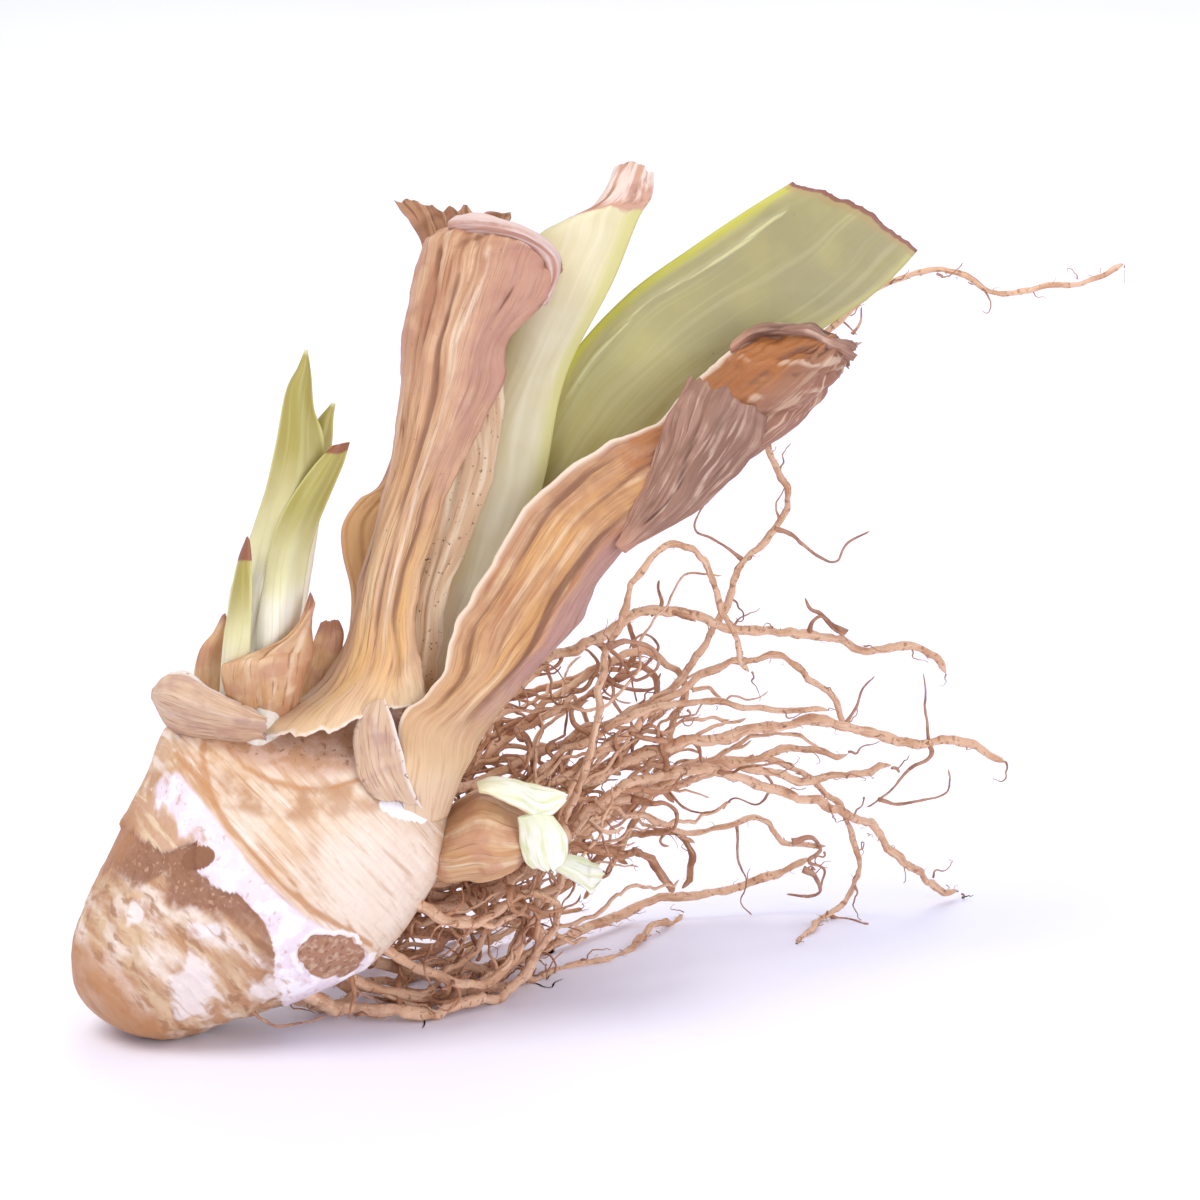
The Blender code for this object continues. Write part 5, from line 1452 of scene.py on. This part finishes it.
# The surfaces. Colours are what the eye sees; relief is the coordinates, then sizes and height in metres.
leafRelief = [
    ("fibre", (0.00035, 0.014, 1), 0.00008),
    ("fibre", (0.0011, 0.03, 1), 0.00012),
    ("object", (0.003,) * 3, 0.00022),
]
surfaces = {
    # Peeled rhizome: a thin cream skin with faint rings over a mottled, fibrous, corky underside
    "skin": {
        "base": "#E3CBAE",
        "layers": [
            spots("#D2AA7C", 0.75, 0.012, (0.4, 0.7)),
            spots("#E9D9C4", 0.8, 0.009, (0.44, 0.68), detail=4),
            streaks("#C6955F", 0.55, (0.014, 0.0012, 0.012), (0.5, 0.68)),
            streaks("#F4EADA", 0.6, (0.018, 0.0018, 0.012), (0.54, 0.7)),
            streaks("#B07E4E", 0.55, (0.012, 0.0005, 0.008), (0.54, 0.68)),
            spots("#B27F50", 0.8, 0.006, (0.38, 0.6), ("mark", 1, 0.3, 1.0)),
            # Just below the collar: painted shade, with brown spots over it
            patch("#D0AA92", 0.9, ("tone", 0, 0.1, 0.9), ragged=(0.003, 0.3)),
            spots("#B98A62", 0.8, 0.004, (0.4, 0.6), ("tone", 0, 0.3, 0.8)),
            spots("#8E5F42", 0.8, 0.0011, (0.6, 0.68), ("tone", 0, 0.4, 0.9)),
            spots("#BE9060", 0.7, 0.009, (0.36, 0.62), ("tone", 1, 0.1, 0.8)),
            streaks("#EBDDCB", 0.7, (0.016, 0.0016, 0.012), (0.5, 0.64), ("tone", 1, 0.1, 0.8)),
            # Painted highlight on the right middle of the body's front
            patch("#F0E0CC", 0.75, ("tone", 2, 0.1, 0.9), ragged=(0.006, 0.3)),
            streaks("#BE9066", 0.5, (0.012, 0.0016, 0.01), (0.54, 0.74), detail=6),
            patch("#E9DCE2", 0.95, ("skin", 1, 0.2, 0.8), ragged=(0.002, 0.15)),
            spots("#CDAFA6", 0.8, 0.0016, (0.56, 0.68), ("skin", 1, 0.4, 0.8)),
            spots("#F7F3F6", 0.9, 0.005, (0.5, 0.6), ("skin", 1, 0.4, 0.8)),
            patch("#C2925F", 0.85, ("mark", 2, 0.15, 1.1), ragged=(0.002, 0.3)),
            streaks("#E9D3AE", 0.8, (0.01, 0.0016, 0.008), (0.48, 0.66), ("mark", 2, 0.4, 0.8)),
            patch("#BC8450", 0.8, ("skin", 2, 0.15, 0.9)),
            patch("#D2B48F", 1.0, ("skin", 0, 0.75, 0.25)),
            streaks("#B5855C", 0.9, (0.011, 0.0022, 0.008), (0.36, 0.64), ("skin", 0, 0.6, 0.3), detail=6),
            streaks("#EFE2D4", 0.85, (0.013, 0.004, 0.009), (0.44, 0.68), ("skin", 0, 0.6, 0.3), detail=8),
            streaks("#9A6A44", 0.75, (0.006, 0.0018, 0.004), (0.52, 0.66), ("skin", 0, 0.6, 0.3), detail=8),
            patch("#93664A", 0.95, ("bare", 0, 0.25, 1.15), ragged=(0.0014, 0.6)),
            spots("#86593B", 0.65, 0.0014, (0.46, 0.66), ("bare", 0, 0.4, 0.9)),
            spots("#C9A283", 0.6, 0.0009, (0.56, 0.68), ("bare", 0, 0.4, 0.9)),
            patch("#F0E7E2", 0.75, ("bare", 1, 0.45, 1.4), ragged=(0.0012, 0.8)),
            streaks("#B58A66", 0.7, (0.009, 0.0016, 0.006), (0.53, 0.66), ("bare", 1, 0.1, 0.5), detail=8),
            patch("#B07A4C", 0.8, ("bare", 2, 0.1, 1.0), ragged=(0.003, 0.3)),
            patch("#8A5C3C", 1.0, ("scar", 2, 0.3, 0.7)),
            patch("#A77A5C", 1.0, ("scar", 0, 0.3, 0.6)),
            spots("#CBAA90", 0.7, 0.0018, (0.5, 0.66), ("scar", 0, 0.5, 0.8)),
            spots("#7A5238", 0.7, 0.0011, (0.54, 0.66), ("scar", 0, 0.4, 0.8)),
            patch("#F2ECE4", 0.95, ("scar", 1, 0.25, 0.7), ragged=(0.0012, 0.2)),
            patch("#FAF7F5", 1.0, ("mark", 0, 0.3, 0.7)),
        ],
        "relief": [
            ("fibre", (0.009, 0.0008, 0.006), 0.00012), ("object", (0.0011,) * 3, 0.00014),
            ("object", (0.0004,) * 3, 0.00006),
        ],
        "roughness": (0.45, 0.75),
        "glow": 0.05,
    },
    # Dried outer leaf: papery, parallel veins, ochre towards the base, mauve-brown along its edges
    "leftLeaf": {
        "base": "#D0A680",
        "layers": [
            streaks("#AE7E5C", 0.6, (0.004, 0.028, 1), (0.44, 0.66)),
            streaks(
                "#9C643F", 0.7, (0.0026, 0.022, 1), (0.44, 0.66), ("part", 0, 0.1, 0.25),
                ("part", 0, 0.62, 0.42), ("part", 1, 0.45, 0.72),
            ),
            streaks(
                "#DDAE6C", 0.85, (0.006, 0.03, 1), (0.3, 0.58), ("part", 0, 0.12, 0.3),
                ("part", 1, 0.66, 0.36),
            ),
            streaks("#E8CFAC", 0.5, (0.0017, 0.03, 1), (0.52, 0.68)),
            streaks(
                "#EBD5B6", 0.7, (0.0026, 0.03, 1), (0.4, 0.6), ("part", 0, 0.36, 0.48),
                ("part", 0, 0.66, 0.54), ("part", 1, 0.3, 0.45), ("part", 1, 0.85, 0.7),
            ),
            streaks("#8E5A3A", 0.7, (0.0007, 0.014, 1), (0.58, 0.7)),
            spots("#A87256", 0.7, 0.009, (0.42, 0.62), ("part", 1, 0.55, 0.8)),
            patch("#BC9285", 0.85, ("part", 0, 0.14, 0.0), ("part", 1, 0.2, 0.4), ragged=(0.003, 0.12)),
            patch("#B08070", 0.7, ("part", 0, 0.66, 0.95), ("part", 1, 0.6, 0.85), ragged=(0.004, 0.3)),
            # Painted shade in the leaf's hollows and a painted highlight on its raised folds
            patch("#7E4F34", 0.8, ("hollow", 0, 0.35, 0.9), ("part", 1, 0.12, 0.4)),
            patch("#F0DFC6", 0.45, ("hollow", 1, 0.35, 0.9)),
            streaks("#9C6C48", 0.4, (0.00026, 0.009, 1), (0.5, 0.66)),
            patch("#DBBE97", 0.85, ("part", 1, 0.34, 0.08), ragged=(0.006, 0.15)),
            streaks("#B9875A", 0.45, (0.0007, 0.01, 1), (0.5, 0.68), ("part", 1, 0.32, 0.05)),
            patch("#EFE2CF", 0.9, ("part", 1, 0.035, 0.012), ragged=(0.0015, 0.03)),
            spots("#6E4630", 0.5, 0.0007, (0.68, 0.75)),
        ],
        "relief": leafRelief,
        "roughness": (0.5, 0.75),
        "glow": 0.08,
    },
    # The folded-back dead leaf: the same paper, darker and drier
    "darkLeaf": {
        "base": "#A97A58",
        "layers": [
            streaks("#8A5C40", 0.8, (0.003, 0.02, 1), (0.42, 0.6)),
            streaks("#C89B74", 0.7, (0.0012, 0.02, 1), (0.52, 0.66)),
            patch("#C79A66", 0.9, ("part", 1, 0.66, 0.5), ragged=(0.004, 0.1)),
            streaks("#6B4630", 0.8, (0.0006, 0.012, 1), (0.56, 0.66), ("part", 1, 0.7, 0.9)),
            patch("#B58A80", 0.6, ("part", 2, 1.2, 0.1), ragged=(0.003, 0.6)),
        ],
        "relief": leafRelief,
        "roughness": (0.6, 0.85),
        "glow": 0.06,
    },
    # Inner dead leaf: paler paper with a row of dark specks
    "spottedLeaf": {
        "base": "#D3AE87",
        "layers": [
            streaks("#E8D2B0", 0.8, (0.0016, 0.03, 1), (0.46, 0.6)),
            streaks("#A87551", 0.7, (0.0009, 0.02, 1), (0.56, 0.68)),
            patch("#C59A60", 0.7, ("part", 1, 0.5, 0.1), ragged=(0.004, 0.2)),
            spots("#5E3D2A", 0.85, 0.0009, (0.64, 0.7)),
        ],
        "relief": leafRelief,
        "roughness": (0.6, 0.85),
        "glow": 0.08,
    },
    # Right dried leaf: ochre gutter below, ribbed mauve-brown and crumpled towards its tip
    "rightLeaf": {
        "base": "#C1966F",
        "layers": [
            streaks(
                "#CC9856", 0.8, (0.006, 0.03, 1), (0.32, 0.58), ("part", 0, 0.05, 0.2),
                ("part", 0, 0.78, 0.55), ("part", 1, 0.25, 0.4),
            ),
            streaks("#A5693C", 0.8, (0.0022, 0.022, 1), (0.5, 0.66), ("part", 1, 0.12, 0.3)),
            streaks("#E6CDA6", 0.5, (0.0015, 0.028, 1), (0.54, 0.68)),
            spots("#AE7C58", 0.6, 0.008, (0.42, 0.62), ("part", 1, 0.2, 0.4)),
            patch("#AD8378", 0.85, ("part", 0, 0.62, 0.82), ("part", 1, 0.3, 0.48), ragged=(0.004, 0.2)),
            patch("#8F6048", 0.8, ("part", 1, 0.72, 0.9), ragged=(0.004, 0.2)),
            patch("#A8672F", 0.85, ("part", 1, 0.78, 0.86), ("part", 0, 0.62, 0.4), ragged=(0.004, 0.2)),
            streaks(
                "#D6B898", 0.7, (0.0008, 0.01, 1), (0.52, 0.64), ("part", 1, 0.78, 0.86),
                ("part", 0, 0.5, 0.7),
            ),
            # Painted shade in the leaf's hollows and a painted highlight on its raised folds
            patch("#7A4E34", 0.8, ("hollow", 0, 0.35, 0.9), ("part", 1, 0.12, 0.4)),
            patch("#EBD5B8", 0.4, ("hollow", 1, 0.35, 0.9)),
            streaks("#8E5F3E", 0.45, (0.00028, 0.009, 1), (0.5, 0.66)),
            patch("#DDBB8C", 0.85, ("part", 1, 0.46, 0.16), ragged=(0.006, 0.15)),
            patch("#E4C9A8", 0.8, ("part", 1, 0.24, 0.06), ragged=(0.006, 0.1)),
            streaks("#B98960", 0.45, (0.0007, 0.01, 1), (0.5, 0.68), ("part", 1, 0.4, 0.1)),
            patch("#F0DFC8", 0.85, ("part", 0, 0.06, 0.0)),
        ],
        "relief": leafRelief,
        "roughness": (0.5, 0.75),
        "glow": 0.08,
    },
    # The folded flap of the right leaf: deep ribs side by side, with painted shade darkening the hollows
    # between them
    "ribbedFlap": {
        "base": "#A27C68",
        "layers": [
            streaks("#7C5642", 0.8, (0.001, 0.016, 1), (0.44, 0.6)),
            streaks("#C9AA92", 0.75, (0.0007, 0.012, 1), (0.52, 0.66)),
            spots("#8A6450", 0.6, 0.006, (0.42, 0.6)),
            # Painted shade in the hollows between the ribs
            patch("#5F4030", 0.75, ("hollow", 0, 0.2, 0.7)),
            patch("#B98A70", 0.85, ("part", 1, 0.4, 0.1), ragged=(0.003, 0.2)),
            patch("#B98678", 0.7, ("part", 0, 0.22, 0.0), ragged=(0.003, 0.2)),
        ],
        "relief": leafRelief,
        "roughness": (0.6, 0.85),
        "glow": 0.05,
    },
    # Pale underside of the left leaf, where its top is folded over
    "paleFold": {
        "base": "#B98D7A",
        "layers": [
            streaks("#9A6C58", 0.8, (0.001, 0.012, 1), (0.46, 0.62)),
            streaks("#DCC4B8", 0.8, (0.0014, 0.02, 1), (0.5, 0.66)),
            patch("#E2CCC0", 0.7, ("part", 0, 0.55, 0.9), ragged=(0.002, 0.3)),
            patch("#83543F", 0.8, ("part", 0, 0.3, 0.0), ragged=(0.002, 0.2)),
        ],
        "relief": leafRelief,
        "roughness": (0.6, 0.85),
        "glow": 0.05,
    },
    # Papery sheaths at the crown: pale, finely ribbed, brown where they tear, with a painted highlight
    # along one long edge and painted shade along the other
    "sheathSkin": {
        "base": "#D0B191",
        "layers": [
            streaks("#BD9476", 0.5, (0.002, 0.012, 1), (0.42, 0.66)),
            streaks("#E4D0BA", 0.45, (0.0012, 0.014, 1), (0.48, 0.7)),
            streaks("#9A6C4C", 0.55, (0.0004, 0.007, 1), (0.54, 0.66)),
            spots("#B18A7C", 0.6, 0.006, (0.46, 0.64)),
            # Painted highlight along the edge that ends each row, the upper edge of the curled sheath
            patch("#F2E8DC", 0.8, ("part", 0, 0.88, 1.0)),
            # Painted shade along the edge that starts each row, the lower edge of the curled sheath
            patch("#A97F66", 0.8, ("part", 0, 0.14, 0.0), ragged=(0.003, 0.1)),
            spots("#6E4834", 0.8, 0.0012, (0.6, 0.68), ("part", 2, 1.4, 0.2)),
        ],
        "relief": leafRelief,
        "roughness": (0.5, 0.75),
        "glow": 0.08,
    },
    # Trimmed green leaf: waxy bloom, fine lengthwise veins, dry brown rim where it was cut
    "greenLeaf": {
        "base": "#B5AE74",
        "layers": [
            patch("#A89C42", 0.85, ("part", 1, 0.8, 0.35), ragged=(0.012, 0.25)),
            spots("#968E64", 0.85, 0.016, (0.1, 0.5), ("part", 1, 0.4, 0.8)),
            spots("#BCB06A", 0.22, 0.009, (0.4, 0.7)),
            streaks("#C6C092", 0.22, (0.0009, 0.06, 1), (0.48, 0.66)),
            streaks("#95963F", 0.2, (0.0005, 0.05, 1), (0.52, 0.68)),
            patch("#BDBB3E", 0.85, ("part", 0, 0.1, 0.02)),
            patch("#C0BC70", 0.7, ("part", 0, 0.95, 1.0)),
            patch("#D9D2A4", 0.9, ("part", 1, 0.3, 0.04), ragged=(0.006, 0.1)),
            # Painted highlight on the raised folds
            patch("#DAD8A0", 0.6, ("hollow", 1, 0.2, 0.42)),
            patch("#A88F5E", 0.6, ("part", 1, 0.966, 0.978), ragged=(0.002, 0.012)),
            patch("#8A5A48", 1.0, ("part", 1, 0.986, 0.993), ragged=(0.002, 0.008)),
            spots("#6E6638", 0.6, 0.0009, (0.74, 0.78)),
        ],
        "relief": [("fibre", (0.0007, 0.05, 1), 0.00002), ("object", (0.006,) * 3, 0.00012)],
        "roughness": (0.36, 0.52),
        "glow": 0.14,
    },
    # Middle green leaf: the same, greyer, its end dried to brown paper
    "greyLeaf": {
        "base": "#D8CEA2",
        "layers": [
            spots("#E2DAB8", 0.8, 0.014, (0.36, 0.62)),
            streaks("#C4BE8C", 0.25, (0.0012, 0.06, 1), (0.48, 0.68)),
            streaks("#ECE6CC", 0.25, (0.0008, 0.05, 1), (0.52, 0.68)),
            patch("#C8C274", 0.85, ("part", 0, 0.74, 0.95), ("part", 1, 0.3, 0.5)),
            patch("#B9B27E", 0.7, ("part", 0, 0.3, 0.0), ("part", 1, 0.3, 0.5)),
            patch("#EAE3C8", 0.9, ("part", 1, 0.42, 0.05), ragged=(0.006, 0.1)),
            patch("#C59A80", 1.0, ("part", 1, 0.905, 0.925), ragged=(0.004, 0.12)),
            streaks("#8F5C44", 0.85, (0.002, 0.01, 1), (0.46, 0.62), ("part", 1, 0.86, 0.9)),
            streaks("#EAD6C6", 0.8, (0.0016, 0.01, 1), (0.5, 0.64), ("part", 1, 0.87, 0.91)),
            patch("#E2DACE", 0.8, ("part", 0, 0.16, 0.0), ("part", 1, 0.82, 0.88)),
        ],
        "relief": [("fibre", (0.0007, 0.05, 1), 0.00002), ("object", (0.006,) * 3, 0.00012)],
        "roughness": (0.4, 0.58),
        "glow": 0.14,
    },
    # New shoot: smooth and waxy, white at its base, yellow-green above
    "freshShoot": {
        "base": "#F1EBDC",
        "layers": [
            patch("#D6D09C", 0.9, ("part", 1, 0.16, 0.42), ragged=(0.006, 0.15)),
            patch("#A2964A", 1.0, ("part", 1, 0.34, 0.72), ragged=(0.006, 0.12)),
            streaks("#C0B872", 0.35, (0.0009, 0.05, 1), (0.48, 0.66)),
            streaks("#989138", 0.3, (0.0007, 0.05, 1), (0.52, 0.68), ("part", 1, 0.5, 0.8)),
            patch("#D3CF86", 0.7, ("part", 2, 0.9, 0.1), ("part", 1, 0.3, 0.6)),
            patch("#D9D8A2", 0.7, ("part", 1, 0.94, 1.0)),
            spots("#8A7A5A", 0.5, 0.0008, (0.74, 0.78)),
        ],
        "relief": [("fibre", (0.0006, 0.05, 1), 0.00003), ("object", (0.005,) * 3, 0.0001)],
        "roughness": (0.34, 0.5),
        "glow": 0.2,
    },
    # Ochre sheath at the foot of the shoot and round the second bud: thin, translucent, veined
    "ochreSheath": {
        "base": "#CFA67A",
        "layers": [
            streaks("#B98046", 0.6, (0.003, 0.012, 1), (0.42, 0.64)),
            streaks("#E6D0AE", 0.6, (0.0016, 0.012, 1), (0.48, 0.66)),
            spots("#C08C6C", 0.7, 0.006, (0.46, 0.62)),
            streaks("#8E5F3A", 0.6, (0.0005, 0.008, 1), (0.56, 0.68)),
            # Painted shade in the sheath's hollows
            patch("#7C4E34", 0.7, ("hollow", 0, 0.25, 0.7)),
            patch("#9A6244", 0.85, ("part", 1, 0.8, 1.0), ragged=(0.002, 0.1)),
            patch("#A87049", 0.7, ("part", 0, 0.86, 1.0)),
        ],
        "relief": leafRelief,
        "roughness": (0.45, 0.7),
        "glow": 0.1,
    },
    # Freshly cut leaves of the second bud: white with green veins
    "paleLeaf": {
        "base": "#F1F0DC",
        "layers": [
            streaks("#D6DBA4", 0.8, (0.0016, 0.01, 1), (0.46, 0.62)),
            streaks("#B9C27A", 0.5, (0.0008, 0.01, 1), (0.56, 0.66)),
            patch("#E3E6BC", 0.8, ("part", 1, 0.4, 0.0)),
            patch("#C9B57E", 0.6, ("part", 2, 0.4, 0.05)),
        ],
        "relief": [("fibre", (0.0006, 0.02, 1), 0.00006), ("object", (0.003,) * 3, 0.00015)],
        "roughness": (0.4, 0.6),
        "glow": 0.2,
    },
    # Root: thin brown bark, wrinkled across, worn paler on its ridges
    "rootBark": {
        "base": "#DDB390",
        "layers": [
            spots("#BD8B64", 0.8, 0.006, (0.44, 0.62)),
            wrinkles("#E8C6A6", 0.75, (0.006, 0.0009, 1), (0.5, 0.64)),
            wrinkles("#986444", 0.7, (0.0009, 0.003, 1), (0.58, 0.68)),
            spots("#845537", 0.6, 0.0016, (0.62, 0.72)),
        ],
        "relief": [("reach", (0.0007, 0.004, 1), 0.00022), ("object", (0.0016,) * 3, 0.0003)],
        "roughness": (0.6, 0.85),
    },
    # Roots at the back of the tangle and inside it, and the curled rootlets: the same bark, darker and
    # browner as painted shade
    "darkRoot": {
        "base": "#B98664",
        "layers": [
            spots("#96643F", 0.8, 0.005, (0.44, 0.62)),
            wrinkles("#D0A684", 0.7, (0.006, 0.0009, 1), (0.52, 0.66)),
            wrinkles("#744A2E", 0.7, (0.0009, 0.003, 1), (0.56, 0.68)),
        ],
        "relief": [("reach", (0.0007, 0.004, 1), 0.00022), ("object", (0.0016,) * 3, 0.0003)],
        "roughness": (0.65, 0.9),
    },
    # Rootlets and root hairs: dry, thin and a little paler
    "rootletBark": {
        "base": "#B5866A",
        "layers": [
            spots("#8E5E42", 0.8, 0.004, (0.44, 0.6)),
            spots("#C7A283", 0.7, 0.0018, (0.54, 0.66)),
        ],
        "relief": [("object", (0.0008,) * 3, 0.0001)],
        "roughness": (0.65, 0.9),
    },
    # Pale studio surface: matt, with the faintest mottling
    "studioFloor": {
        "base": "#F5F4FD",
        "layers": [
            spots("#F1EFFC", 0.5, 0.3, (0.4, 0.6)),
        ],
        "relief": [("object", (0.002,) * 3, 0.00001)],
        "roughness": (0.7, 0.85),
    },
}

# New shoots whose tips have dried: the same, brown and thin at the end, from this share of the length
for name, start in (("tippedShoot", 0.945), ("tippedSheath", 0.78)):
    tip = patch("#8A5638", 1.0, ("part", 1, start, start + 0.02), ragged=(0.002, 0.03))
    surfaces[name] = {**surfaces["freshShoot"], "layers": [*surfaces["freshShoot"]["layers"], tip]}

studio = {
    "floorSize": 8.0,
    "world": ("#E6E9FF", 0.78),
    "lamps": {
        "key": {"at": (-0.75, -0.55, 1.30), "size": 0.9, "power": 12.8, "colour": "#FFFAF0"},
        "fill": {"at": (0.8, -1.2, 0.32), "size": 1.2, "power": 11.0, "colour": "#FAFAFF"},
        "back": {"at": (0.1, 1.2, 1.1), "size": 1.4, "power": 8.0, "colour": "#FFFFFF"},
    },
    "aim": (0.0, 0.0, 0.06),
}


def makeStudio(surface):
    half = studio["floorSize"] / 2
    mesh = bpy.data.meshes.new("studioFloor")
    corners = [(-half, -half, 0), (half, -half, 0), (half, half, 0), (-half, half, 0)]
    mesh.from_pydata(corners, [], [(0, 1, 2, 3)])
    mesh.materials.append(surface)
    floor = addObject("studioFloor", mesh)
    world = bpy.data.worlds.new("studioWorld")
    world.use_nodes = True
    backdrop = world.node_tree.nodes["Background"]
    backdrop.inputs["Color"].default_value = linear(studio["world"][0])
    backdrop.inputs["Strength"].default_value = studio["world"][1]
    bpy.context.scene.world = world
    for name, lamp in studio["lamps"].items():
        light = bpy.data.lights.new(name, "AREA")
        light.shape = "DISK"
        light.size = lamp["size"]
        light.energy = lamp["power"]
        light.color = linear(lamp["colour"])[:3]
        made = addObject(name, light)
        made.location = lamp["at"]
        towards = Vector(studio["aim"]) - Vector(lamp["at"])
        made.rotation_euler = towards.to_track_quat("-Z", "Y").to_euler()
    bpy.context.scene.view_settings.view_transform = "Standard"


def makeCamera():
    lens = bpy.data.cameras.new("camera")
    lens.sensor_width = 36
    lens.lens = 36 * viewDistance / (framePixels * pixelSize)
    lens.clip_start = 0.05
    lens.clip_end = 50
    camera = addObject("camera", lens)
    camera.location = cameraAt
    camera.rotation_euler = (math.pi / 2 - lookDown, 0, 0)
    bpy.context.scene.camera = camera


made = {name: paint(name, settings) for name, settings in surfaces.items()}
print("surfaces painted")
makeStudio(made["studioFloor"])
makeCamera()
print("studio and camera set")
makeBody(made["skin"])
print("body made")
for name, leaf in leaves.items():
    makeLeaf(name, leaf, made[leaf["surface"]])
print("leaves made")
makeBud(made["ochreSheath"])
print("bud made")
paths = makeRoots(made)
print("roots made")
makeTangle(made["rootBark"], paths)
makeCurls(made["darkRoot"], paths)
makeRootlets(made["rootletBark"], paths)
for name, settings in hairs.items():
    makeHairs(name, settings, paths, made["rootletBark"])
print("rootlets made")
